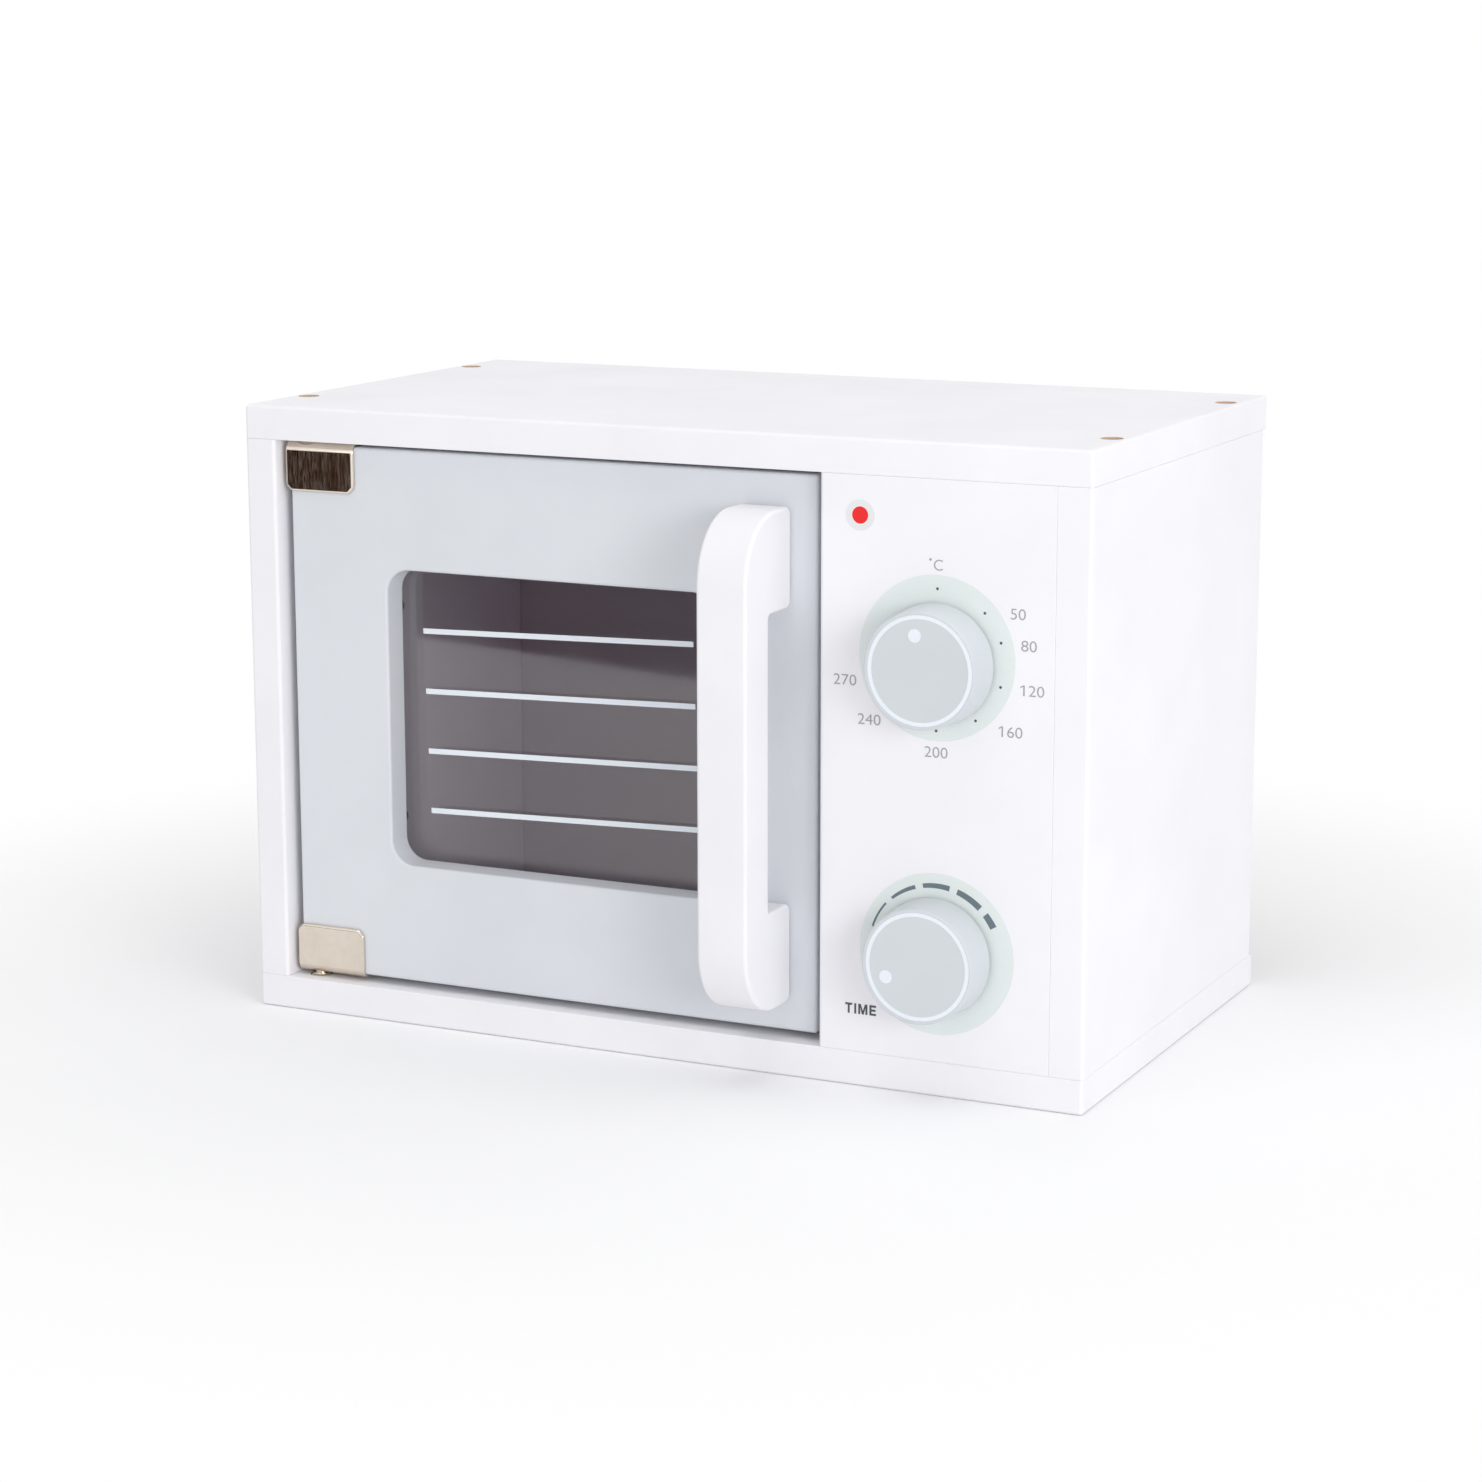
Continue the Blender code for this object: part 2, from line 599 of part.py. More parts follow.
def pane_and_window():
    """Cuts the window and its rebate, and fits the pane and its four screws."""
    opening = window_tool(0.0, WINDOW_RADIUS, DOOR_THICKNESS + 2 * CUT_OVERRUN)
    opening.location = (DOOR_MIDDLE_X, (DOOR_FACE + DOOR_BACK) / 2, DOOR_MIDDLE_Z)
    combine(door_panel, opening)
    ease(door_panel, DOOR_EDGE)
    ledge = DOOR_BACK - PANE_THICKNESS - TOUCH_GAP
    rebate = window_tool(PANE_LAP, WINDOW_RADIUS, DOOR_BACK - ledge + CUT_OVERRUN)
    rebate.location = (DOOR_MIDDLE_X, (ledge + DOOR_BACK + CUT_OVERRUN) / 2, DOOR_MIDDLE_Z)
    combine(door_panel, rebate)
    grow = PANE_LAP - TOUCH_GAP
    tool = window_tool(grow, WINDOW_RADIUS - TOUCH_GAP, PANE_THICKNESS)
    pane = put("window_pane", tool.data, smoked_acrylic)
    bpy.data.objects.remove(tool)
    pane.rotation_euler = (math.pi / 2, 0, 0)
    pane.location = (DOOR_MIDDLE_X, DOOR_BACK - PANE_THICKNESS / 2, DOOR_MIDDLE_Z)
    pieces = [pane]
    bore = PANE_SHANK_RADIUS + TOUCH_GAP
    for side, across in (("left", -PANE_SCREW_SPREAD), ("right", PANE_SCREW_SPREAD)):
        for level, rise in (("lower", -PANE_SCREW_RISE), ("upper", PANE_SCREW_RISE)):
            mouth = Vector((DOOR_MIDDLE_X + across, DOOR_BACK, DOOR_MIDDLE_Z + rise))
            drill(pane, mouth, -Y, bore, PANE_THICKNESS + CUT_OVERRUN, SCREW_STEPS)
            drill(door_panel, mouth, -Y, bore, PANE_LENGTH + TOUCH_GAP, SCREW_STEPS)
            pieces.append(place_screw(f"pane_screw_{side}_{level}", pane_screw, zinc,
                                      mouth + TOUCH_GAP * Y, Y))
    return pieces


door_pieces = [door_panel] + pane_and_window()


# Handle

def handle():
    """The C-shaped grip, and the two screws that hold it from behind the door."""
    half = HANDLE_LENGTH / 2
    inner = half - FOOT_HEIGHT
    reach = HANDLE_DEPTH - GRIP_THICKNESS
    outline = rounded_outline([
        (0.0, half, FOOT_RADIUS), (-HANDLE_DEPTH, half, HANDLE_OUTER_RADIUS),
        (-HANDLE_DEPTH, -half, HANDLE_OUTER_RADIUS), (0.0, -half, FOOT_RADIUS),
        (0.0, -inner, FOOT_RADIUS), (-reach, -inner, HANDLE_INNER_RADIUS),
        (-reach, inner, HANDLE_INNER_RADIUS), (0.0, inner, FOOT_RADIUS)])
    grip = slab("door_handle", outline, HANDLE_WIDTH, HANDLE_EDGE, parts)
    grip.data.materials.append(handle_paint)
    grip.rotation_euler = (math.pi / 2, 0, math.pi / 2)
    grip.location = (HANDLE_X, DOOR_FACE - TOUCH_GAP, DOOR_MIDDLE_Z)
    pieces = [grip]
    bore = HANDLE_SHANK_RADIUS + TOUCH_GAP
    for level, rise in (("lower", -HANDLE_SCREW_RISE), ("upper", HANDLE_SCREW_RISE)):
        mouth = Vector((HANDLE_X, DOOR_BACK, DOOR_MIDDLE_Z + rise))
        drill(door_panel, mouth, -Y, bore, DOOR_THICKNESS + CUT_OVERRUN, SCREW_STEPS)
        drill(grip, mouth, -Y, bore, HANDLE_SCREW_LENGTH + TOUCH_GAP, SCREW_STEPS)
        pieces.append(place_screw(f"handle_screw_{level}", handle_screw, zinc,
                                  mouth + TOUCH_GAP * Y, Y))
    return pieces


door_pieces += handle()


# Pivot clips, one over each hinged corner of the door

def pivot_clip(level, corner, inward, board, board_face):
    """A folded clip, its pin, the bush in the board, and two screws behind the door.

    corner is the height of the door's corner, inward points into the door from there."""
    outer = TOUCH_GAP + CLIP_SHEET
    web_outside = corner - inward * outer
    web_inside = corner - inward * TOUCH_GAP
    plate_end = web_outside + inward * CLIP_HEIGHT
    left = DOOR_LEFT - outer
    right = left + CLIP_WIDTH
    clip = box(f"{level}_hinge_clip",
               (left, DOOR_FACE - outer, min(web_outside, plate_end)),
               (right, DOOR_BACK + outer, max(web_outside, plate_end)), nickel)
    round_folds(clip, -inward, CLIP_FOLD)
    ease(clip, CLIP_EDGE)
    beyond = plate_end + inward * CUT_OVERRUN
    cut_box(clip, (DOOR_LEFT - TOUCH_GAP, DOOR_FACE - TOUCH_GAP, min(web_inside, beyond)),
            (right + CUT_OVERRUN, DOOR_BACK + TOUCH_GAP, max(web_inside, beyond)))
    for x in (left, right):
        cut_corner(clip, (x, DOOR_FACE + DOOR_THICKNESS / 2, plate_end), CLIP_CORNER,
                   DOOR_THICKNESS + 2 * outer + 2 * CUT_OVERRUN)
    into_board = -inward * Z
    axis_point = Vector((HINGE_X, HINGE_Y, web_inside))
    drill(clip, axis_point, into_board, PIN_RADIUS + TOUCH_GAP, CLIP_SHEET + CUT_OVERRUN)
    room = abs(board_face - web_inside)
    pin_profile = [(0.0, 0.0), (PIN_RADIUS, 0.0), (PIN_RADIUS, -room - PIN_SEAT),
                   (0.0, -room - PIN_SEAT)]
    pin = turned(f"{level}_hinge_pin", pin_profile, nickel, axis_point, -into_board)
    mouth = Vector((HINGE_X, HINGE_Y, board_face))
    drill(board, mouth, into_board, BUSH_RADIUS + TOUCH_GAP, BUSH_LENGTH + TOUCH_GAP)
    bush = turned(f"{level}_hinge_bush",
                  ring_profile(PIN_RADIUS + RUN_GAP, BUSH_RADIUS, -BUSH_LENGTH, 0.0),
                  white_plastic, mouth, -into_board)
    cabinet_pieces.append(bush)
    pieces = [clip, pin]
    for number in (1, 2):
        across = DOOR_LEFT + CLIP_SCREW_START + (number - 1) * CLIP_SCREW_PITCH
        hole = Vector((across, DOOR_BACK + outer, corner + inward * CLIP_SCREW_RISE))
        bore = CLIP_SHANK_RADIUS + TOUCH_GAP
        drill(clip, hole, -Y, bore, CLIP_SHEET + CUT_OVERRUN, SCREW_STEPS)
        drill(door_panel, hole, -Y, bore, CLIP_LENGTH + TOUCH_GAP, SCREW_STEPS)
        pieces.append(place_screw(f"{level}_clip_screw_{number}", clip_screw, nickel,
                                  hole + TOUCH_GAP * Y, Y))
    return pieces


door_pieces += pivot_clip("lower", DOOR_BOTTOM, 1, bottom_panel, FLOOR)
door_pieces += pivot_clip("upper", DOOR_TOP, -1, top_panel, CEILING)
washer_low = FLOOR + TOUCH_GAP
washer_high = DOOR_BOTTOM - TOUCH_GAP - CLIP_SHEET - TOUCH_GAP
door_pieces.append(turned(
    "hinge_thrust_washer",
    ring_profile(PIN_RADIUS + RUN_GAP, THRUST_WASHER_RADIUS, 0.0, washer_high - washer_low),
    nickel, (HINGE_X, HINGE_Y, washer_low), Z))


# Magnetic catch on the divider, and the strike plate on the door

def magnetic_catch():
    """The catch's nylon body with its magnet between two pole plates, and its two screws."""
    wall = CONTROL_LEFT - TOUCH_GAP
    back = CATCH_FRONT + CATCH_DEPTH
    middle = DOOR_MIDDLE_Z
    body = box("catch_body", (CATCH_LEFT, CATCH_FRONT, middle - CATCH_BLOCK_LENGTH / 2),
               (wall, back, middle + CATCH_BLOCK_LENGTH / 2), white_plastic, CATCH_EDGE)
    ears = box("ears", (wall - CATCH_EAR, CATCH_FRONT, middle - CATCH_LENGTH / 2),
               (wall, back, middle + CATCH_LENGTH / 2), None, collection=cutters)
    combine(body, ears, "UNION")
    pocket_low = (CATCH_MIDDLE_X - POCKET_WIDTH / 2, CATCH_FRONT - CUT_OVERRUN,
                  middle - POLE_LENGTH / 2 - TOUCH_GAP)
    pocket_high = (CATCH_MIDDLE_X + POCKET_WIDTH / 2, CATCH_FRONT + POCKET_DEPTH,
                   middle + POLE_LENGTH / 2 + TOUCH_GAP)
    cut_box(body, pocket_low, pocket_high)
    pocket_end = CATCH_FRONT + POCKET_DEPTH - TOUCH_GAP
    half = MAGNET_THICKNESS / 2
    magnet = box("catch_magnet", (CATCH_MIDDLE_X - half, CATCH_FRONT, middle - POLE_LENGTH / 2),
                 (CATCH_MIDDLE_X + half, pocket_end, middle + POLE_LENGTH / 2), ferrite)
    pieces = [body, magnet]
    for side, sign in (("left", -1), ("right", 1)):
        near = CATCH_MIDDLE_X + sign * (half + TOUCH_GAP)
        far = near + sign * POLE_SHEET
        pieces.append(box(f"catch_pole_plate_{side}",
                          (min(near, far), CATCH_FRONT - POLE_PROUD, middle - POLE_LENGTH / 2),
                          (max(near, far), pocket_end, middle + POLE_LENGTH / 2), zinc))
    bore = CATCH_SHANK_RADIUS + TOUCH_GAP
    for level, sign in (("lower", -1), ("upper", 1)):
        mouth = Vector((wall - CATCH_EAR, CATCH_FRONT + CATCH_DEPTH / 2,
                        middle + sign * CATCH_SCREW_SPREAD))
        drill(body, mouth, X, bore, CATCH_EAR + CUT_OVERRUN, SCREW_STEPS)
        drill(divider_panel, mouth, X, bore, CATCH_SCREW_LENGTH + TOUCH_GAP, SCREW_STEPS)
        pieces.append(place_screw(f"catch_screw_{level}", catch_screw, zinc,
                                  mouth - TOUCH_GAP * X, -X))
    return pieces


def strike():
    """The strike plate behind the door's free edge, and its countersunk screw."""
    low = DOOR_BACK + TOUCH_GAP
    plate = box("strike_plate",
                (CATCH_MIDDLE_X - STRIKE_WIDTH / 2, low, DOOR_MIDDLE_Z - STRIKE_LENGTH / 2),
                (CATCH_MIDDLE_X + STRIKE_WIDTH / 2, low + STRIKE_SHEET,
                 DOOR_MIDDLE_Z + STRIKE_LENGTH / 2), zinc)
    face = Vector((CATCH_MIDDLE_X, low + STRIKE_SHEET, DOOR_MIDDLE_Z))
    drop = STRIKE_HEAD_RADIUS - STRIKE_SHANK_RADIUS
    seat = STRIKE_HEAD_RADIUS + TOUCH_GAP
    sink = turned("sink", [(0.0, CUT_OVERRUN), (seat, CUT_OVERRUN), (seat, 0.0),
                           (seat - drop, -drop), (seat - drop, -STRIKE_SCREW_LENGTH - TOUCH_GAP),
                           (0.0, -STRIKE_SCREW_LENGTH - TOUCH_GAP)],
                  None, face, Y, SCREW_STEPS, cutters)
    combine(plate, sink)
    combine(door_panel, sink)
    return [plate, place_screw("strike_screw", strike_screw, zinc, face, Y)]


cabinet_pieces += magnetic_catch()
door_pieces += strike()


# Knobs, each on a spindle through the control panel

def knob(name, height):
    """A knob with its felt, spindle, retaining washer and screw, carried by its own axis."""
    centre = Vector((KNOB_X, FRONT, height))
    base = TOUCH_GAP + FELT_THICKNESS + TOUCH_GAP
    face = base + KNOB_HEIGHT
    bore = SPINDLE_RADIUS + TOUCH_GAP
    bore_end = base + KNOB_BORE_DEPTH
    rim = KNOB_FACE_RADIUS - KNOB_EDGE
    arc = []
    for step in range(4):
        turn = math.radians(90 - 30 * step)
        arc.append((rim + KNOB_EDGE * math.cos(turn), face - KNOB_EDGE * (1 - math.sin(turn))))
    profile = [(0.0, face)] + arc + [(KNOB_RADIUS, base), (bore, base), (bore, bore_end),
                                     (0.0, bore_end)]
    body = turned(f"{name}_knob", profile, knob_paint, centre, -Y, 2 * ROUND_STEPS)
    disc = turned(f"{name}_knob_felt",
                  ring_profile(bore, FELT_RADIUS, TOUCH_GAP, TOUCH_GAP + FELT_THICKNESS),
                  felt, centre, -Y)
    spindle = turned(f"{name}_spindle",
                     [(0.0, bore_end - TOUCH_GAP), (SPINDLE_RADIUS, bore_end - TOUCH_GAP),
                      (SPINDLE_RADIUS, -BOARD), (0.0, -BOARD)], beech, centre, -Y)
    drill(control_panel, centre, Y, SPINDLE_RADIUS + RUN_GAP, BOARD + CUT_OVERRUN)
    washer_face = BOARD + TOUCH_GAP
    washer_back = washer_face + RETAINER_THICKNESS
    pilot = RETAINER_SHANK_RADIUS + TOUCH_GAP
    retainer = turned(f"{name}_retaining_washer",
                      ring_profile(pilot, RETAINER_RADIUS, -washer_back, -washer_face),
                      zinc, centre, -Y)
    head = washer_back + TOUCH_GAP
    drill(spindle, centre + BOARD * Y, -Y, pilot,
          RETAINER_SCREW_LENGTH + TOUCH_GAP - (head - BOARD), SCREW_STEPS)
    screw = place_screw(f"{name}_retaining_screw", retainer_screw, zinc,
                        centre + head * Y, Y)
    carry(axis_empty(f"{name}_knob_axis", centre), [body, disc, spindle, retainer, screw])


knob("temperature", TEMPERATURE_HEIGHT)
knob("timer", TIMER_HEIGHT)
carry(cabinet_origin, cabinet_pieces)
carry(door_axis, door_pieces)

print("pieces:", len([piece for piece in parts.objects if piece.type == "MESH"]))
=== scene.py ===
# %% [markdown]
# # A wooden toy microwave
# A child's play microwave: a white box of painted fibreboard with a pale grey door, a smoked
# plastic window, a white C-shaped handle, two grey knobs and two folded metal clips that the
# door swings on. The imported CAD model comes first, because every piece below sits on it.

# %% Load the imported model
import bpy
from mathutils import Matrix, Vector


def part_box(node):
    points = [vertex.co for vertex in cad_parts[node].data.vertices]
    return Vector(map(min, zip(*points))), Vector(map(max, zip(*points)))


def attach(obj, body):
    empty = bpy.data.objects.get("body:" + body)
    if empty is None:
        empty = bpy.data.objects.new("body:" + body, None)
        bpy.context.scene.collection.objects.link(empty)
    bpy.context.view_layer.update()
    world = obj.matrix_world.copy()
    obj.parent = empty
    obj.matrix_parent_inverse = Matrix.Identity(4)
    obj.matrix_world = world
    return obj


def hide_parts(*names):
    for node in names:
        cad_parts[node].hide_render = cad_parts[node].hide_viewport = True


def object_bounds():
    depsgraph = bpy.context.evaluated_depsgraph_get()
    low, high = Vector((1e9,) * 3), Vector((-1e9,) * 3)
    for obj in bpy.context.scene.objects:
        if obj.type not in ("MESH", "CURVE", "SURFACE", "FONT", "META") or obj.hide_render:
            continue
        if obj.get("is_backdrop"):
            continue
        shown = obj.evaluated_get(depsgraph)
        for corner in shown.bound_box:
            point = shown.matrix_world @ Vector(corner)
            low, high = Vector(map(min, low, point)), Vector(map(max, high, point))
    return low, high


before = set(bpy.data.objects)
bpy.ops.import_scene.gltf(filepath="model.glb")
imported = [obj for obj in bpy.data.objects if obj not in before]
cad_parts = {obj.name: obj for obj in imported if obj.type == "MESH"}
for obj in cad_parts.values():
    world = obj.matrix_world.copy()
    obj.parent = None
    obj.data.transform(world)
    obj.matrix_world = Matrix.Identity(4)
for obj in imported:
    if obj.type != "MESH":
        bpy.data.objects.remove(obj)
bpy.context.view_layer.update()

# %% [markdown]
# ## Measuring like a maker
# A cabinet maker measures in millimetres from one corner. Here that corner is the front, lower,
# left one: X runs right, Y runs back into the cabinet and Z runs up. Blender wants metres in the
# model's own frame. Typing metres would work, but millimetres can be held against a ruler on the
# real toy, so one short function turns one into the other.

# %% Millimetres from the cabinet's corner
import math

import bmesh
import bpy
from mathutils import Matrix, Vector

MM = 0.001
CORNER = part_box("bottom_panel")[0]
LEFTWARD = Vector((-1, 0, 0))
FRONTWARD = Vector((0, -1, 0))
UPWARD = Vector((0, 0, 1))


def at(x, y, z):
    """A point in metres, given in millimetres from the cabinet's front lower left corner."""
    return CORNER + Vector((x, y, z)) * MM


def middle(node):
    """The middle of a CAD node's box."""
    low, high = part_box(node)
    return (low + high) / 2


def in_mm(point):
    """A point in millimetres from the cabinet's corner, to print."""
    return [round(c / MM, 2) for c in point - CORNER]


# %% [markdown]
# ## The camera
# The toy is seen from its front right and a little above. A camera could be placed by eye, but
# then every edge is a little off, so its place and turn were worked out from the corners of the
# cabinet in the picture. A long lens keeps the boards almost parallel, as a product photographer
# would.

# %% Camera
CAMERA_RIGHT = Vector((0.9018, 0.4321, -0.0013))
CAMERA_DOWN = Vector((0.0854, -0.1812, -0.9797))
CAMERA_AHEAD = Vector((-0.4236, 0.8834, -0.2003))
CAMERA_PLACE = Vector((0.5198, -1.0999, 0.3386))
SENSOR = 36.0              # width of the film, in millimetres
LENS = 88.03               # focal length, in millimetres

camera = bpy.data.objects.new("camera", bpy.data.cameras.new("camera"))
bpy.context.scene.collection.objects.link(camera)
camera.data.sensor_width = SENSOR
camera.data.lens = LENS
turn = Matrix((CAMERA_RIGHT, -CAMERA_DOWN, -CAMERA_AHEAD)).transposed()
camera.matrix_world = Matrix.Translation(CAMERA_PLACE) @ turn.to_4x4()
bpy.context.scene.camera = camera
bpy.context.scene.view_settings.view_transform = "Standard"
print("camera stands", round((CAMERA_PLACE - middle("door_panel")).length, 2), "m away")

# %% [markdown]
# ## Colours and nodes
# Paint charts give sRGB hex values, but light adds up in linear values, so one function turns
# one into the other. A second one adds a node with its settings and its sockets, where a socket
# takes a plain value or another node's output. Sockets go by name, or by number where a node
# has several of the same name, as the Mix node does. Nodes could be dragged together in the
# editor instead, but here each material reads as a short recipe.

# %% Small helpers for materials


def colour(hex_value):
    """An sRGB hex colour as the linear colour that a shader takes."""
    channels = [int(hex_value[i:i + 2], 16) / 255 for i in (0, 2, 4)]
    return (*[c / 12.92 if c <= 0.04045 else ((c + 0.055) / 1.055) ** 2.4
              for c in channels], 1.0)


def add(tree, kind, sockets, **settings):
    """Adds a node with its settings; each socket takes a value or another node's output."""
    node = tree.nodes.new(kind)
    for setting, value in settings.items():
        setattr(node, setting, value)
    for socket, value in sockets.items():
        if isinstance(value, bpy.types.NodeSocket):
            tree.links.new(value, node.inputs[socket])
        else:
            node.inputs[socket].default_value = value
    return node


def new_material(name):
    """An empty material, its node tree and its place in object space."""
    material = bpy.data.materials.new(name)
    material.use_nodes = True
    tree = material.node_tree
    tree.nodes.clear()
    place = add(tree, "ShaderNodeTexCoord", {}).outputs["Object"]
    return material, tree, place


SPREAD = {"From Min": 0.3, "From Max": 0.7}       # where the values of a noise mostly lie
AMOUNT, FIRST, SECOND, MIXED = 0, 6, 7, 2         # sockets of a Mix node set to colours
print("white #FFFFFF is", colour("FFFFFF")[:3])
print("mid grey #808080 is", [round(c, 3) for c in colour("808080")[:3]])

# %% [markdown]
# ## Satin lacquer
# The boards are medium density fibreboard, sprayed with a satin lacquer. Sprayed lacquer isn't
# glass flat: it dries with a faint orange peel, bumps about 2 mm across and a few microns high,
# and the coat is a shade thinner in places. The eye reads that as paint rather than as plastic:
# reflections are soft and wander a little. The bumps could be modelled, but a noise that only
# tilts the light needs no faces and has no seams. One recipe serves every lacquered piece.

# %% Satin lacquer, for any paint colour
PEEL = 2.0 * MM            # across one bump of the orange peel
PEEL_HEIGHT = 0.02 * MM    # drawn higher than the real few microns, so that it shows at all
THIN_PATCH = 45.0 * MM     # across one thinner patch of paint


def satin_lacquer(name, paint, thin_paint, rough_low, rough_high):
    """Sprayed satin lacquer: a base colour, a thinner tone of it and a range of roughness."""
    material, tree, place = new_material(name)
    patches = add(tree, "ShaderNodeTexNoise", {
        "Vector": place, "Scale": 1 / THIN_PATCH, "Detail": 3.0, "Roughness": 0.55})
    peel = add(tree, "ShaderNodeTexNoise", {
        "Vector": place, "Scale": 1 / PEEL, "Detail": 1.0, "Roughness": 0.4})
    thin = add(tree, "ShaderNodeMapRange", {"Value": patches.outputs["Fac"], **SPREAD})
    tone = add(tree, "ShaderNodeMix", {
        AMOUNT: thin.outputs["Result"], FIRST: colour(paint), SECOND: colour(thin_paint)},
        data_type="RGBA")
    dull = add(tree, "ShaderNodeMapRange", {
        "Value": patches.outputs["Fac"], **SPREAD, "To Min": rough_low, "To Max": rough_high})
    skin = add(tree, "ShaderNodeBump", {
        "Height": peel.outputs["Fac"], "Strength": 0.35, "Distance": PEEL_HEIGHT})
    shader = add(tree, "ShaderNodeBsdfPrincipled", {
        "Base Color": tone.outputs[MIXED], "Roughness": dull.outputs["Result"],
        "Normal": skin.outputs["Normal"], "IOR": 1.5})
    add(tree, "ShaderNodeOutputMaterial", {"Surface": shader.outputs["BSDF"]})
    return material


white_lacquer = satin_lacquer("satin lacquer, white", "F2F1F5", "EEEDF1", 0.56, 0.66)
door_lacquer = satin_lacquer("satin lacquer, door grey", "DCDFE4", "D7DBE0", 0.54, 0.64)
knob_lacquer = satin_lacquer("satin lacquer, knob grey", "CED4D7", "CACFD4", 0.50, 0.60)
# the handle's white is drawn a shade darker than the cabinet's: painted shade, so that its
# rounded edges, which face two lamps at once, stay below pure white
handle_lacquer_with_painted_shade = satin_lacquer("satin lacquer, white with painted shade, handle", "EFEEF2", "EBEAEE", 0.58, 0.68)
print("orange peel:", PEEL / MM, "mm across,", len(white_lacquer.node_tree.nodes), "nodes")

# %% [markdown]
# ## Raw fibreboard and hardboard
# Where a drill has gone through the paint, the board shows its brown inside: fibres of wood
# pressed with glue, which look like fine felt. The back is a thin hardboard with one thin coat,
# and its paint sinks between the fibres, so it is duller and a little uneven. Its grey is drawn
# darker than the other boards' white. That is painted shade for the back wall deep inside the
# oven, which gets less light through the window than the side walls. Hairs could stand for the
# fibres. From this far a noise looks the same, if it is drawn coarse enough.

# %% Raw fibreboard, and hardboard with painted shade
FIBRE = 0.35 * MM          # real fibres are thinner, drawn this wide to show
HARDBOARD_FIBRE = 1.1 * MM


def fibres(name, light, dark, fibre, height, roughness):
    """Pressed wood fibres, bare or under thin paint."""
    material, tree, place = new_material(name)
    felted = add(tree, "ShaderNodeTexNoise", {
        "Vector": place, "Scale": 1 / fibre, "Detail": 4.0, "Roughness": 0.7})
    deep = add(tree, "ShaderNodeMapRange", {"Value": felted.outputs["Fac"], **SPREAD})
    tone = add(tree, "ShaderNodeMix", {
        AMOUNT: deep.outputs["Result"], FIRST: colour(light), SECOND: colour(dark)},
        data_type="RGBA")
    nap = add(tree, "ShaderNodeBump", {
        "Height": felted.outputs["Fac"], "Strength": 0.5, "Distance": height})
    shader = add(tree, "ShaderNodeBsdfPrincipled", {
        "Base Color": tone.outputs[MIXED], "Roughness": roughness,
        "Normal": nap.outputs["Normal"]})
    add(tree, "ShaderNodeOutputMaterial", {"Surface": shader.outputs["BSDF"]})
    return material


raw_fibreboard = fibres("raw fibreboard", "E6CBB2", "D0B297", FIBRE, 0.05 * MM, 0.85)
# the back's hardboard is drawn grey, darker than the boards' white: painted shade for the dim
# back wall inside the oven
hardboard_with_painted_shade = fibres("hardboard with painted shade", "CAC9CA", "C0BFC0", HARDBOARD_FIBRE,
                           0.03 * MM, 0.6)
print("fibres drawn", FIBRE / MM, "and", HARDBOARD_FIBRE / MM, "mm wide")

# %% [markdown]
# ## Nickel and zinc plate
# The clips are mild steel, folded and barrel plated with nickel: a warm silver with a soft
# lustre, and faint marks from rolling that run along the sheet. The screws are zinc plated,
# cooler and duller. Both are metals, so their colour lives in the reflection. A picture of worn
# metal would repeat and slip at the folds, so a noise drawn out in one direction makes the marks.

# %% Plated steel
ROLLING = 0.5 * MM         # between two rolling marks, drawn coarser than the real ones
ROLLED_LONG = 0.12         # how much the marks are drawn out along the sheet
CLOUDS = 6.0 * MM          # across one cloud of the plating


def plated_steel(name, bright, dull, rough_low, rough_high):
    """Rolled steel sheet with a plated skin."""
    material, tree, place = new_material(name)
    clouds = add(tree, "ShaderNodeTexNoise", {
        "Vector": place, "Scale": 1 / CLOUDS, "Detail": 4.0, "Roughness": 0.6})
    along = add(tree, "ShaderNodeMapping", {"Vector": place, "Scale": (1.0, 1.0, ROLLED_LONG)})
    rolled = add(tree, "ShaderNodeTexNoise", {
        "Vector": along.outputs["Vector"], "Scale": 1 / ROLLING, "Detail": 3.0})
    cloudy = add(tree, "ShaderNodeMapRange", {"Value": clouds.outputs["Fac"], **SPREAD})
    tone = add(tree, "ShaderNodeMix", {
        AMOUNT: cloudy.outputs["Result"], FIRST: colour(bright), SECOND: colour(dull)},
        data_type="RGBA")
    lustre = add(tree, "ShaderNodeMapRange", {
        "Value": rolled.outputs["Fac"], **SPREAD, "To Min": rough_low, "To Max": rough_high})
    marks = add(tree, "ShaderNodeBump", {
        "Height": rolled.outputs["Fac"], "Strength": 0.25, "Distance": 0.01 * MM})
    shader = add(tree, "ShaderNodeBsdfPrincipled", {
        "Base Color": tone.outputs[MIXED], "Metallic": 1.0,
        "Roughness": lustre.outputs["Result"], "Normal": marks.outputs["Normal"]})
    add(tree, "ShaderNodeOutputMaterial", {"Surface": shader.outputs["BSDF"]})
    return material


nickel_plate = plated_steel("nickel plated steel", "E8DDCF", "DFD4C6", 0.08, 0.19)
zinc_plate = plated_steel("zinc plated steel", "C4C3C0", "B2B1AC", 0.28, 0.42)
print("clouds of the plating:", CLOUDS / MM, "mm across")

# %% [markdown]
# ## Smoked acrylic
# The window is a 2 mm sheet of cast acrylic, tinted a purplish brown. It passes about two thirds
# of the light, so the oven behind it looks dim, and its glossy face mirrors what stands in front.
# Alpha is how much of the light each of its two faces stops: two faces at 0.18 pass 0.67.
# A glass shader would need light to bend its way through, so alpha gives a cleaner picture.
# But alpha thins the gloss as well as the colour. So the gloss is made stronger than acrylic's
# own index of 1.49 would make it, until the mirror image is as bright as the real sheet's.

# %% Smoked acrylic
SMEAR = 30.0 * MM          # across one smear left by a wiping hand
STOPPED = 0.18             # share of the light that one face stops


